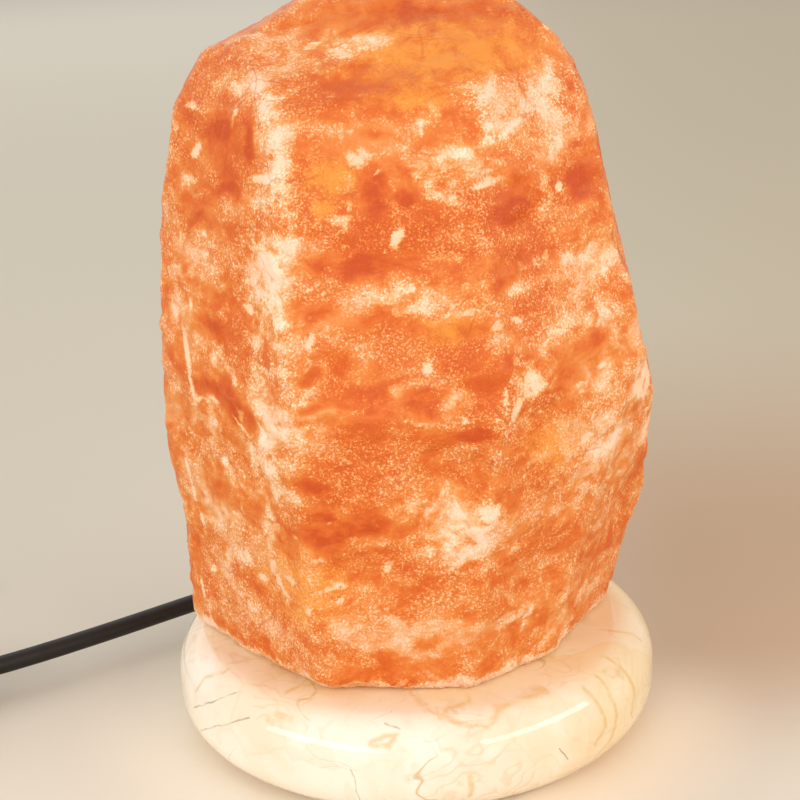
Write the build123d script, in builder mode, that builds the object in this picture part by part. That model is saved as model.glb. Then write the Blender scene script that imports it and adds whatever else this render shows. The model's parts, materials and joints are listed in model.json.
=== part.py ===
from build123d import *
from math import cos, pi, radians, sin, sqrt, tan
import os

# Salt crystal lamp: a bored block of rock salt standing over a small lamp
# holder on a round marble foot. Millimetres, +Z up, the origin on the floor
# under the middle of the foot, and the front towards -Y.

# ---------------------------------------------------------------- sizes
# marble foot
base_diameter = 130.0
base_thickness = 25.5
base_edge_radius = 10.5
felt_diameter = 100.0
felt_thickness = 1.5
felt_recess = 1.0
pocket_diameter = 60.0
web_thickness = 8.0

# flex and where it leaves the foot
cord_diameter = 5.2
cord_height = 11.0
exit_azimuth = 50.0
bushing_diameter = 8.4
bushing_tip_diameter = 6.8
bushing_length = 24.0
bushing_proud = 3.0
bushing_taper = 9.0
lead_first_run = 7.0
lead_bend_run = 13.6
lead_bend_step = 33.2
wire_diameter = 1.9
wire_spacing = 3.2
wire_bend_radius = 5.5
sheath_end = 17.0

# flex clamp in the wiring pocket
clamp_width = 20.0
clamp_length = 8.0
clamp_depth = 10.0
clamp_distance = 23.0
clamp_screw_spacing = 14.0
clamp_screw_diameter = 2.5
clamp_screw_length = 11.0
clamp_screw_head = 4.6
clamp_screw_head_height = 1.6
clamp_screw_end_room = 1.0

# threaded tube through the foot
nipple_diameter = 10.0
nipple_bore = 7.5
nipple_engagement = 8.0
nut_across_flats = 14.0
nut_thickness = 3.0
washer_diameter = 22.0
washer_thickness = 1.0
nipple_below_nut = 1.0

# lamp holder for a small screw cap
holder_diameter = 28.0
holder_foot_diameter = 19.0
cap_height = 20.0
cap_cone_height = 6.0
cap_neck_diameter = 25.0
cap_neck_height = 6.0
cap_bore = 21.0
carrier_flange_diameter = 24.6
carrier_flange_thickness = 3.0
carrier_foot_height = 5.0
carrier_top_diameter = 19.0
carrier_top_height = 5.0
screw_shell_bore = 14.06
screw_shell_wall = 0.4
screw_shell_height = 17.0
screw_shell_seat = 1.0
holder_mouth = 17.6
holder_lip = 2.0
holder_rim_gap = 1.0
holder_rim_radius = 1.5
terminal_spacing = 12.0
terminal_screw_diameter = 3.0
terminal_screw_length = 6.0
terminal_head_diameter = 4.4
terminal_head_height = 1.4
wire_above_nipple = 0.8
wire_below_terminal = 2.2
contact_width = 4.0
contact_thickness = 0.5
contact_length = 9.0
contact_rise = 1.1
contact_pad = 3.2
contact_bend = 1.4

# bulb
bulb_diameter = 25.0
bulb_length = 56.0
bulb_cap_diameter = 13.9
bulb_cap_height = 15.0
bulb_cap_wall = 0.4
bulb_neck_diameter = 12.8
bulb_neck_height = 3.0
bulb_shoulder_height = 14.0
bulb_wall = 0.8
bulb_neck_seat = 1.0
bulb_cap_edge_radius = 1.2
bulb_tip_diameter = 4.6
bulb_tip_height = 1.5
insulator_height = 3.4
insulator_diameter = 9.0
insulator_margin = 0.6
stem_diameter = 4.6
stem_height = 12.0
stem_flare_diameter = 11.0
stem_flare_height = 1.2
lead_diameter = 0.6
lead_spread = 12.0
lead_height = 9.0
filament_diameter = 0.4
filament_rise = 3.0

# crystal
crystal_ridge_radius = 5.0
hollow_radius = 45.0
hollow_depth = 1.4
bore_diameter = 56.0
bore_depth = 100.0
bore_top_radius = 14.0

# inline switch
switch_length = 54.0
switch_entry_x = -129.0
switch_entry_y = 4.6
switch_heading = 210.0
switch_lead_in = 20.0
switch_width = 26.0
switch_height = 18.0
switch_wall = 2.0
switch_corner_radius = 7.5
switch_top_radius = 2.5
rocker_length = 21.0
rocker_width = 11.6
rocker_window_gap = 0.9
rocker_side_gap = 0.4
rocker_rise = 1.0
rocker_dip = 1.0
rocker_depth = 6.0
rocker_belly_length = 12.0
rocker_tilt = 7.0
rocker_pin_diameter = 2.0
rocker_pin_depth = 3.6
lug_thickness = 2.0
lug_width = 5.0
switch_screw_diameter = 2.8
switch_screw_head = 5.2
switch_screw_head_height = 1.8
switch_screw_bite = 5.0
switch_boss_diameter = 7.6
switch_screw_inset = 8.0
switch_screw_offset = 5.8
switch_screw_recess = 0.6
switch_floor = 2.6
rocker_shoulder = 0.5

# moulded two-pin plug
plug_length = 35.0
plug_width = 35.3
plug_thickness = 13.8
plug_back_width = 16.0
plug_back_length = 16.0
plug_edge_radius = 3.0
plug_pin_diameter = 4.0
plug_pin_length = 19.0
plug_pin_root = 6.0
plug_pin_spacing = 18.6
plug_pin_root_diameter = 3.0
plug_pin_tip_radius = 1.2
relief_diameter = 10.0
relief_tip_diameter = 7.2
relief_length = 20.0
plug_reach = 46.0
plug_lead_straight = 8.0
plug_lead_run_in = 7.0

# put-away coil
coil_radius = 36.0
coil_turn_gap = 0.8
coil_half_turns = 7
coil_approach = 30.0
coil_approach_straight = 6.0
tie_width = 10.0
tie_thickness = 1.0
tie_slack = 0.3
tie_corner_radius = 3.0

# fits
thread_clearance = 0.05
hole_clearance = 0.25
flex_clearance = 0.1
pin_clearance = 0.06
seat_clearance = 0.1

# ---------------------------------------------------------------- heights and places
felt_proud = felt_thickness - felt_recess
base_top = felt_proud + base_thickness
pocket_ceiling = base_top - web_thickness
nipple_foot = pocket_ceiling - washer_thickness - nut_thickness - nipple_below_nut
nipple_top = base_top + nipple_engagement
cap_rim = base_top + cap_height
cap_shoulder = cap_rim - cap_neck_height
carrier_foot = cap_rim - carrier_foot_height
carrier_flange_top = cap_rim + carrier_flange_thickness
carrier_top = carrier_flange_top + carrier_top_height
screw_shell_foot = carrier_flange_top + screw_shell_seat
screw_shell_top = screw_shell_foot + screw_shell_height
holder_top = screw_shell_top + holder_rim_gap + holder_lip
contact_top = screw_shell_foot + contact_thickness + contact_rise
bulb_foot = contact_top + seat_clearance
insulator_foot = bulb_foot + bulb_tip_height
bulb_cap_foot = insulator_foot + insulator_height
bulb_cap_top = bulb_cap_foot + bulb_cap_height
bulb_top = bulb_foot + bulb_length
bulb_neck_foot = bulb_cap_top - bulb_neck_seat
bulb_neck_top = bulb_cap_top + bulb_neck_height
bulb_shoulder_top = bulb_neck_top + bulb_shoulder_height
stem_foot = bulb_neck_foot + stem_flare_height
stem_top = stem_foot + stem_height
lead_top = stem_top + lead_height
bore_top = base_top + bore_depth
rim = base_diameter / 2
bushing_tip = rim + bushing_proud
bushing_foot = bushing_tip - bushing_length


def heading(angle):
    """The level direction that lies this many degrees round from +X."""
    return Vector(cos(radians(angle)), sin(radians(angle)), 0)


def along_exit(distance, aside, height):
    """A point of the wiring, measured from the middle of the foot along the flex's hole."""
    out = heading(exit_azimuth)
    left = heading(exit_azimuth + 90)
    return out * distance + left * aside + Vector(0, 0, height)


def exit_plane(distance):
    """The upright plane across the flex's hole, facing out, with its X level."""
    return Plane(
        origin=along_exit(distance, 0, cord_height),
        x_dir=heading(exit_azimuth + 90),
        z_dir=heading(exit_azimuth),
    )


shared = 0.45
end_share = 0.9


def corner_radius(before, corner, after, share_before, share_after):
    """The largest arc that fits when it takes up this much of the two runs at a corner."""
    turn = radians((corner - before).get_angle(after - corner))
    return min((corner - before).length * share_before, (after - corner).length * share_after) / tan(turn / 2)


def tube_along(name, route, diameter):
    """One round tube along straight runs joined by tangent arcs; prints what shows its quality."""
    # a run between two corners is shared by their arcs, the first and last aren't
    shares = [end_share] + [shared] * (len(route) - 3) + [end_share]
    corners = zip(route, route[1:], route[2:], shares, shares[1:])
    radii = [corner_radius(*corner) for corner in corners]
    with BuildPart() as tube:
        with BuildLine() as path:
            FilletPolyline(*route, radius=radii)
        line = path.wire()
        with BuildSketch(Plane(origin=line @ 0, z_dir=line % 0)):
            Circle(diameter / 2)
        sweep()
    expected = pi * diameter**2 / 4 * line.length
    print(f"{name}: length {line.length:.1f}, radii {[round(r, 1) for r in radii]},")
    print(f"  volume {tube.part.volume:.1f} against section times length {expected:.1f}")
    return tube


def ring(outer, inner, foot, top):
    """A turned tube about the lamp's axis, drawn in the open builder."""
    with BuildSketch(Plane.XY.offset(foot)) as section:
        Circle(outer / 2)
        Circle(inner / 2, mode=Mode.SUBTRACT)
    extrude(section.sketch, amount=top - foot)


# ---------------------------------------------------------------- marble foot
with BuildPart() as marble_base:
    with BuildSketch(Plane.XY.offset(felt_proud)):
        Circle(base_diameter / 2)
    extrude(amount=base_thickness)
    fillet(marble_base.edges().filter_by(GeomType.CIRCLE), base_edge_radius)
    # shallow seat of the felt, and the wiring pocket above it
    with BuildSketch(Plane.XY.offset(felt_proud)):
        Circle(felt_diameter / 2 + hole_clearance)
    extrude(amount=felt_recess, mode=Mode.SUBTRACT)
    with BuildSketch(Plane.XY.offset(felt_proud)):
        Circle(pocket_diameter / 2)
    extrude(amount=pocket_ceiling - felt_proud, mode=Mode.SUBTRACT)
    with BuildSketch(Plane.XY.offset(pocket_ceiling)):
        Circle(nipple_diameter / 2 + hole_clearance)
    extrude(amount=web_thickness, mode=Mode.SUBTRACT)
    # hole for the flex, from the pocket out through the rear of the rim
    with BuildSketch(exit_plane(pocket_diameter / 2 - bushing_diameter / 2)):
        Circle(bushing_diameter / 2 + thread_clearance)
    extrude(amount=rim, mode=Mode.SUBTRACT)
    # pilot holes for the clamp's screws
    for side in (-1, 1):
        with BuildSketch(Plane(along_exit(clamp_distance, side * clamp_screw_spacing / 2, pocket_ceiling))):
            Circle(clamp_screw_diameter / 2 + thread_clearance)
        extrude(amount=clamp_screw_length - clamp_depth + clamp_screw_end_room, mode=Mode.SUBTRACT)

with BuildPart() as felt_disc:
    with BuildSketch():
        Circle(felt_diameter / 2)
    extrude(amount=felt_thickness)

# ---------------------------------------------------------------- flex inside the foot
with BuildPart() as cord_bushing:
    with BuildSketch(exit_plane(bushing_foot)):
        Circle(bushing_diameter / 2)
    extrude(amount=bushing_length - bushing_taper)
    with BuildSketch(exit_plane(bushing_tip - bushing_taper)):
        Circle(bushing_diameter / 2)
    with BuildSketch(exit_plane(bushing_tip)):
        Circle(bushing_tip_diameter / 2)
    loft()
    with BuildSketch(exit_plane(bushing_foot)):
        Circle(cord_diameter / 2 + flex_clearance)
    extrude(amount=bushing_length, mode=Mode.SUBTRACT)

with BuildPart() as cord_inner:
    with BuildSketch(exit_plane(sheath_end)):
        Circle(cord_diameter / 2)
    extrude(amount=bushing_tip - sheath_end)

clamp_foot = pocket_ceiling - clamp_depth
with BuildPart() as cord_clamp:
    with BuildSketch(exit_plane(clamp_distance - clamp_length / 2)):
        with Locations((0, (pocket_ceiling + clamp_foot) / 2 - cord_height)):
            Rectangle(clamp_width, clamp_depth)
        Circle(cord_diameter / 2 + flex_clearance, mode=Mode.SUBTRACT)
    extrude(amount=clamp_length)
    for side in (-1, 1):
        with BuildSketch(Plane(along_exit(clamp_distance, side * clamp_screw_spacing / 2, clamp_foot))):
            Circle(clamp_screw_diameter / 2 + thread_clearance)
        extrude(amount=clamp_depth, mode=Mode.SUBTRACT)

with BuildPart() as clamp_screws:
    for side in (-1, 1):
        aside = side * clamp_screw_spacing / 2
        head_foot = clamp_foot - clamp_screw_head_height
        with BuildSketch(Plane(along_exit(clamp_distance, aside, head_foot))):
            Circle(clamp_screw_head / 2)
        extrude(amount=clamp_screw_head_height)
        with BuildSketch(Plane(along_exit(clamp_distance, aside, clamp_foot))):
            Circle(clamp_screw_diameter / 2)
        extrude(amount=clamp_screw_length)


def core_route(side):
    """One core of the flex: level to the nipple, up through it, then out to its terminal."""
    middle = wire_spacing / 2 * side
    screw = terminal_spacing / 2 * side
    return [
        along_exit(sheath_end, middle, cord_height),
        along_exit(0, middle, cord_height),
        along_exit(0, middle, nipple_top + wire_above_nipple),
        along_exit(0, screw, carrier_foot - terminal_head_height - wire_below_terminal),
        along_exit(0, screw, carrier_foot - terminal_head_height),
    ]


wires = {}
for side, wire_name in ((-1, "live_wire"), (1, "neutral_wire")):
    route = core_route(side)
    with BuildPart() as core:
        with BuildLine() as path:
            FilletPolyline(*route, radius=[wire_bend_radius, wire_diameter, wire_diameter])
        line = path.wire()
        with BuildSketch(Plane(origin=line @ 0, z_dir=line % 0)):
            Circle(wire_diameter / 2)
        sweep()
    wires[wire_name] = core

# ---------------------------------------------------------------- threaded tube, nut and washer
with BuildPart() as holder_nipple:
    ring(nipple_diameter, nipple_bore, nipple_foot, nipple_top)

with BuildPart() as nipple_nut:
    with BuildSketch(Plane.XY.offset(nipple_foot + nipple_below_nut)):
        RegularPolygon(nut_across_flats / 2, 6, major_radius=False)
        Circle(nipple_diameter / 2 + thread_clearance, mode=Mode.SUBTRACT)
    extrude(amount=nut_thickness)

with BuildPart() as nipple_washer:
    washer_foot = pocket_ceiling - washer_thickness
    ring(washer_diameter, nipple_diameter + 2 * hole_clearance, washer_foot, pocket_ceiling)

# ---------------------------------------------------------------- lamp holder
with BuildPart() as holder_cap:
    with BuildSketch(Plane.XZ):
        with BuildLine():
            Polyline(
                (0, base_top),
                (holder_foot_diameter / 2, base_top),
                (holder_diameter / 2, base_top + cap_cone_height),
                (holder_diameter / 2, cap_shoulder),
                (cap_neck_diameter / 2, cap_shoulder),
                (cap_neck_diameter / 2, cap_rim),
                (0, cap_rim),
                close=True,
            )
        make_face()
    revolve(axis=Axis.Z)
    with BuildSketch(Plane.XY.offset(nipple_top)):
        Circle(cap_bore / 2)
    extrude(amount=cap_rim - nipple_top, mode=Mode.SUBTRACT)
    with BuildSketch(Plane.XY.offset(base_top)):
        Circle(nipple_diameter / 2 + thread_clearance)
    extrude(amount=nipple_top - base_top, mode=Mode.SUBTRACT)

with BuildPart() as holder_shell:
    ring(holder_diameter, cap_neck_diameter + 2 * seat_clearance, cap_shoulder, holder_top - holder_lip)
    ring(holder_diameter, holder_mouth, holder_top - holder_lip, holder_top)
    fillet(holder_shell.edges().group_by(Axis.Z)[-1].sort_by(SortBy.LENGTH)[-1], holder_rim_radius)

with BuildPart() as contact_carrier:
    with BuildSketch(Plane.XY.offset(carrier_foot)):
        Circle(cap_bore / 2 - seat_clearance)
    extrude(amount=cap_rim - carrier_foot)
    with BuildSketch(Plane.XY.offset(cap_rim)):
        Circle(carrier_flange_diameter / 2)
    extrude(amount=carrier_flange_thickness)
    with BuildSketch(Plane.XY.offset(carrier_flange_top)):
        Circle(carrier_top_diameter / 2)
    extrude(amount=carrier_top_height)
    # seat of the screw shell
    with BuildSketch(Plane.XY.offset(screw_shell_foot)):
        Circle(screw_shell_bore / 2 + screw_shell_wall + thread_clearance)
    extrude(amount=carrier_top - screw_shell_foot, mode=Mode.SUBTRACT)
    for side in (-1, 1):
        with BuildSketch(Plane(along_exit(0, side * terminal_spacing / 2, carrier_foot))):
            Circle(terminal_screw_diameter / 2 + thread_clearance)
        extrude(amount=terminal_screw_length, mode=Mode.SUBTRACT)

with BuildPart() as terminal_screws:
    for side in (-1, 1):
        aside = side * terminal_spacing / 2
        with BuildSketch(Plane(along_exit(0, aside, carrier_foot - terminal_head_height))):
            Circle(terminal_head_diameter / 2)
        extrude(amount=terminal_head_height)
        with BuildSketch(Plane(along_exit(0, aside, carrier_foot))):
            Circle(terminal_screw_diameter / 2)
        extrude(amount=terminal_screw_length)

with BuildPart() as screw_shell:
    outer = screw_shell_bore + 2 * screw_shell_wall
    ring(outer, screw_shell_bore, screw_shell_foot, screw_shell_top)

with BuildPart() as centre_contact:
    with BuildSketch(Plane.XZ.offset(-contact_width / 2)):
        with BuildLine():
            Polyline(
                (-contact_length / 2, screw_shell_foot),
                (contact_length / 2, screw_shell_foot),
                (contact_length / 2, screw_shell_foot + contact_thickness),
                (contact_pad / 2, contact_top),
                (-contact_pad / 2, contact_top),
                (-contact_pad / 2, contact_top - contact_thickness),
                (contact_pad / 4, contact_top - contact_thickness),
                (contact_length / 2 - contact_bend, screw_shell_foot + contact_thickness),
                (-contact_length / 2, screw_shell_foot + contact_thickness),
                close=True,
            )
        make_face()
    extrude(amount=contact_width)

# ---------------------------------------------------------------- bulb
with BuildPart() as bulb_tip:
    with BuildSketch(Plane.XY.offset(bulb_foot)):
        Circle(bulb_tip_diameter / 2)
    extrude(amount=bulb_tip_height)
    fillet(bulb_tip.edges().group_by(Axis.Z)[0], bulb_tip_height / 2)

with BuildPart() as bulb_insulator:
    with BuildSketch(Plane.XY.offset(insulator_foot)):
        Circle(bulb_tip_diameter / 2 + insulator_margin)
    with BuildSketch(Plane.XY.offset(bulb_cap_foot)):
        Circle(insulator_diameter / 2)
    loft()

with BuildPart() as bulb_cap:
    with BuildSketch(Plane.XY.offset(bulb_cap_foot)):
        Circle(bulb_cap_diameter / 2)
    extrude(amount=bulb_cap_height)
    fillet(bulb_cap.edges().group_by(Axis.Z)[0], bulb_cap_edge_radius)
    with BuildSketch(Plane.XY.offset(bulb_cap_foot + bulb_cap_wall)):
        Circle(bulb_cap_diameter / 2 - bulb_cap_wall)
    extrude(amount=bulb_cap_height - bulb_cap_wall, mode=Mode.SUBTRACT)


def envelope(inset):
    """Half of the glass's outline, this far inside its outer surface."""
    body = bulb_diameter / 2 - inset
    neck = bulb_neck_diameter / 2 - inset
    dome_foot = bulb_top - bulb_diameter / 2
    bend = (bulb_neck_top + bulb_shoulder_top) / 2
    with BuildSketch(Plane.XZ) as half:
        with BuildLine():
            Line((0, bulb_neck_foot), (neck, bulb_neck_foot))
            Line((neck, bulb_neck_foot), (neck, bulb_neck_top))
            Bezier((neck, bulb_neck_top), (neck, bend), (body, bend), (body, bulb_shoulder_top))
            Line((body, bulb_shoulder_top), (body, dome_foot))
            RadiusArc((body, dome_foot), (0, dome_foot + body), -body)
            Line((0, dome_foot + body), (0, bulb_neck_foot))
        make_face()
    return half.sketch


with BuildPart() as bulb_glass:
    revolve(envelope(0), axis=Axis.Z)
    revolve(envelope(bulb_wall), axis=Axis.Z, mode=Mode.SUBTRACT)

with BuildPart() as bulb_stem:
    with BuildSketch(Plane.XY.offset(bulb_neck_foot)):
        Circle(stem_flare_diameter / 2)
    extrude(amount=stem_flare_height)
    with BuildSketch(Plane.XY.offset(stem_foot)):
        Circle(stem_diameter / 2)
    extrude(amount=stem_height)

with BuildPart() as bulb_leads:
    for side in (-1, 1):
        with BuildLine() as lead_path:
            foot_height = stem_top + lead_diameter / 2
            Line((side * stem_diameter / 4, 0, foot_height), (side * lead_spread / 2, 0, lead_top))
        line = lead_path.wire()
        with BuildSketch(Plane(origin=line @ 0, z_dir=line % 0)):
            Circle(lead_diameter / 2)
        sweep(path=line)

with BuildPart() as bulb_filament:
    with BuildLine() as filament_path:
        ThreePointArc(
            (-lead_spread / 2, 0, lead_top + filament_diameter),
            (0, 0, lead_top + filament_rise),
            (lead_spread / 2, 0, lead_top + filament_diameter),
        )
    line = filament_path.wire()
    with BuildSketch(Plane(origin=line @ 0, z_dir=line % 0)):
        Circle(filament_diameter / 2)
    sweep()

# ---------------------------------------------------------------- crystal
# Each hewn face: the way it looks (degrees round from +X), how far it leans
# up, and a point on it, from the middle of the crystal's foot.
hewn_faces = [
    (-91, -4, (0, -45, 2)),
    (-90, 9, (0, -50, 75)),
    (-88, 22, (5, -44, 125)),
    (-92, 56, (7, -36, 147)),
    (-141, -5, (-34, -33, 2)),
    (-141, 5, (-31, -46, 80)),
    (-143, 30, (-30, -35, 148)),
    (184, -3, (-60, -6, 2)),
    (181, 3, (-64, 0, 68)),
    (178, 12, (-59.5, 0, 122)),
    (176, 33, (-53, 0, 146)),
    (172, 62, (-38, 0, 160)),
    (-8, -17, (53, 0, 2)),
    (-6, -4, (62.5, 0, 30)),
    (-4, 13, (65, 0, 64)),
    (-6, 24, (46.5, 0, 144)),
    (-5, 45, (36, 0, 160)),
    (-30, -12, (44, -13, 2)),
    (-52, -7, (23, -38, 2)),
    (-50, 11, (38, -34, 90)),
    (-48, 30, (34, -26, 140)),
    (92, -6, (0, 44, 2)),
    (88, 8, (0, 52, 60)),
    (95, 38, (0, 42, 140)),
    (137, -4, (-41, 38, 2)),
    (139, 9, (-46, 40, 70)),
    (140, 40, (-36, 30, 146)),
    (44, -7, (38, 34, 2)),
    (47, 12, (46, 38, 70)),
    (40, 40, (32, 28, 140)),
    (20, 86, (5, 5, 170)),
]
crystal_foot = Vector(0, 0, base_top)

# The shallow hollows that the hammer left: degrees round from +X, height over the floor.
hollow_places = [
    (-104, 62), (-77, 86), (-101, 112), (-81, 136), (-141, 48), (-140, 82), (-138, 122),
    (178, 58), (186, 94), (176, 128), (137, 52), (140, 92), (99, 52), (82, 86), (97, 120),
    (46, 58), (44, 98), (-4, 58), (4, 102), (-11, 134), (-50, 56), (-53, 98), (-47, 140),
]


def face_plane(azimuth, lean, point):
    """The point of a hewn face that the list gives, and the way it looks."""
    level = heading(azimuth) * cos(radians(lean))
    return crystal_foot + Vector(*point), level + Vector(0, 0, sin(radians(lean)))


def hollow_middle(azimuth, height):
    """The middle of the ball that leaves a hollow this way from the axis, at this height."""
    inside = Vector(0, 0, height)
    out = heading(azimuth)
    nearest = base_diameter
    for face in hewn_faces:
        on_face, outward = face_plane(*face)
        if out.dot(outward) > 0:
            distance = (on_face - inside).dot(outward) / out.dot(outward)
            if distance < nearest:
                nearest = distance
                looks = outward
    return inside + out * nearest + looks * (hollow_radius - hollow_depth)


with BuildPart() as salt_crystal:
    with BuildSketch(Plane.XY.offset(base_top - 2 * crystal_ridge_radius)):
        Rectangle(base_diameter * 1.5, base_diameter * 1.5)
    extrude(amount=base_diameter * 1.7)
    for face in hewn_faces:
        on_face, outward = face_plane(*face)
        inset = on_face - outward * crystal_ridge_radius
        split(bisect_by=Plane(origin=inset, z_dir=outward), keep=Keep.BOTTOM)
    # the ridges are worn round, and the foot is sawn flat
    offset(amount=crystal_ridge_radius, kind=Kind.ARC)
    split(bisect_by=Plane(origin=crystal_foot, z_dir=(0, 0, -1)), keep=Keep.BOTTOM)
    with Locations(*[hollow_middle(*place) for place in hollow_places]):
        Sphere(hollow_radius, mode=Mode.SUBTRACT)
    # the bore for the bulb, with a rounded end
    with BuildSketch(Plane.XZ):
        with BuildLine():
            half_bore = bore_diameter / 2
            Line((0, base_top), (half_bore, base_top))
            Line((half_bore, base_top), (half_bore, bore_top - bore_top_radius))
            RadiusArc(
                (half_bore, bore_top - bore_top_radius),
                (half_bore - bore_top_radius, bore_top),
                -bore_top_radius,
            )
            Line((half_bore - bore_top_radius, bore_top), (0, bore_top))
            Line((0, bore_top), (0, base_top))
        make_face()
    revolve(axis=Axis.Z, mode=Mode.SUBTRACT)

# ---------------------------------------------------------------- flex on the floor
# From the foot's rear the flex swings round behind the lamp, then runs out
# past its left side to the inline switch.
switch_entry = Vector(switch_entry_x, switch_entry_y, switch_height / 2)
along_switch = heading(switch_heading)
across_switch = heading(switch_heading - 90)
lead_route = [
    along_exit(bushing_tip, 0, cord_height),
    along_exit(bushing_tip + lead_first_run, 0, cord_height),
]
for bend in (1, 2, 3):
    onward = heading(exit_azimuth + bend * lead_bend_step)
    lead_route.append(lead_route[-1] + onward * lead_bend_run)
lead_route += [
    Vector(-5.0, 85.5, 11.0),
    Vector(-55.0, 53.0, 10.4),
    Vector(-90.0, 28.0, 9.8),
    switch_entry - along_switch * switch_lead_in,
    switch_entry,
]
cord_lead = tube_along("cord_lead", lead_route, cord_diameter)

# ---------------------------------------------------------------- inline switch
switch_middle = switch_entry + along_switch * switch_length / 2


def switch_plane(height):
    """The level plane of the switch, with X along its length."""
    origin = Vector(switch_middle.X, switch_middle.Y, height)
    return Plane(origin=origin, x_dir=along_switch, z_dir=(0, 0, 1))


def switch_side(aside):
    """The upright plane along the switch's length, with Y up from its split line."""
    origin = switch_middle + across_switch * aside
    return Plane(origin=origin, x_dir=along_switch, z_dir=across_switch)


split_height = switch_height / 2
rocker_pin_height = switch_height - rocker_pin_depth
window_length = rocker_length + 2 * rocker_window_gap
screw_along = switch_length / 2 - switch_screw_inset
screw_places = [(screw_along, switch_screw_offset), (-screw_along, -switch_screw_offset)]


def switch_outline(inset):
    """The rounded outline of the switch, this far inside its outer wall."""
    corner = switch_corner_radius - inset
    RectangleRounded(switch_length - 2 * inset, switch_width - 2 * inset, corner)


with BuildPart() as switch_lower:
    with BuildSketch(switch_plane(0)):
        switch_outline(0)
    extrude(amount=split_height)
    fillet(switch_lower.edges().group_by(Axis.Z)[0], switch_top_radius)
    with BuildSketch(switch_plane(switch_floor)):
        switch_outline(switch_wall)
        with Locations(*screw_places):
            Circle(switch_boss_diameter / 2, mode=Mode.SUBTRACT)
    extrude(amount=split_height, mode=Mode.SUBTRACT)
    with BuildSketch(switch_plane(0)):
        with Locations(*screw_places):
            Circle(switch_screw_head / 2 + hole_clearance)
    extrude(amount=switch_screw_recess + switch_screw_head_height, mode=Mode.SUBTRACT)
    with BuildSketch(switch_plane(0)):
        with Locations(*screw_places):
            Circle(switch_screw_diameter / 2 + thread_clearance)
    extrude(amount=split_height, mode=Mode.SUBTRACT)

with BuildPart() as switch_upper:
    with BuildSketch(switch_plane(split_height)):
        switch_outline(0)
    extrude(amount=switch_height - split_height)
    fillet(switch_upper.edges().group_by(Axis.Z)[-1], switch_top_radius)
    with BuildSketch(switch_plane(split_height)):
        switch_outline(switch_wall)
        with Locations(*screw_places):
            Circle(switch_boss_diameter / 2, mode=Mode.SUBTRACT)
    extrude(amount=split_height - switch_wall, mode=Mode.SUBTRACT)
    # lugs that hold the rocker's pin
    lug_middle = rocker_width / 2 + rocker_side_gap + lug_thickness / 2
    with BuildSketch(switch_plane(switch_height - switch_wall)):
        with Locations((0, lug_middle), (0, -lug_middle)):
            Rectangle(lug_width, lug_thickness)
    extrude(amount=-(rocker_pin_depth + rocker_pin_diameter - switch_wall))
    with BuildSketch(switch_plane(split_height)):
        Rectangle(window_length, rocker_width + 2 * rocker_side_gap)
    extrude(amount=switch_height, mode=Mode.SUBTRACT)
    with BuildSketch(switch_side(-switch_width)):
        with Locations((0, rocker_pin_height - split_height)):
            Circle(rocker_pin_diameter / 2 + thread_clearance)
    extrude(amount=switch_width + lug_middle + lug_thickness / 2, mode=Mode.SUBTRACT)
    with BuildSketch(switch_plane(split_height)):
        with Locations(*screw_places):
            Circle(switch_screw_diameter / 2 + thread_clearance)
    extrude(amount=switch_screw_bite, mode=Mode.SUBTRACT)

with BuildPart() as switch_pin:
    pin_reach = lug_middle + lug_thickness / 2
    with BuildSketch(switch_side(-pin_reach)):
        with Locations((0, rocker_pin_height - split_height)):
            Circle(rocker_pin_diameter / 2)
    extrude(amount=2 * pin_reach)

with BuildPart() as switch_screws:
    for place in screw_places:
        with BuildSketch(switch_plane(switch_screw_recess)):
            with Locations(place):
                Circle(switch_screw_head / 2)
        extrude(amount=switch_screw_head_height)
        with BuildSketch(switch_plane(switch_screw_recess + switch_screw_head_height)):
            with Locations(place):
                Circle(switch_screw_diameter / 2)
        shank = split_height - switch_screw_recess - switch_screw_head_height
        extrude(amount=shank + switch_screw_bite)

rocker_top = rocker_pin_depth
with BuildPart() as switch_rocker:
    with BuildSketch(switch_side(-rocker_width / 2)):
        with Locations((0, rocker_pin_height - split_height)):
            Polygon(
                (-rocker_length / 2, rocker_top + rocker_rise),
                (0, rocker_top - rocker_dip + rocker_rise),
                (rocker_length / 2, rocker_top + rocker_rise),
                (rocker_length / 2, -rocker_shoulder),
                (rocker_belly_length / 2, rocker_top - rocker_depth),
                (-rocker_belly_length / 2, rocker_top - rocker_depth),
                (-rocker_length / 2, -rocker_shoulder),
                rotation=rocker_tilt,
                align=None,
            )
            Circle(rocker_pin_diameter / 2 + pin_clearance, mode=Mode.SUBTRACT)
    extrude(amount=rocker_width)

# ---------------------------------------------------------------- put-away coil
switch_exit = switch_entry + along_switch * switch_length
coil_floor = tie_thickness + cord_diameter / 2
coil_step = cord_diameter + coil_turn_gap
coil_start = switch_exit + along_switch * coil_approach + Vector(0, 0, coil_floor - split_height)
to_coil_middle = heading(switch_heading - 90)
coil_middle = coil_start + to_coil_middle * coil_radius


def in_coil(outward, height):
    """A point on the line through the coil's middle where its half turns meet."""
    return coil_middle + to_coil_middle * outward + Vector(0, 0, height)


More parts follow.
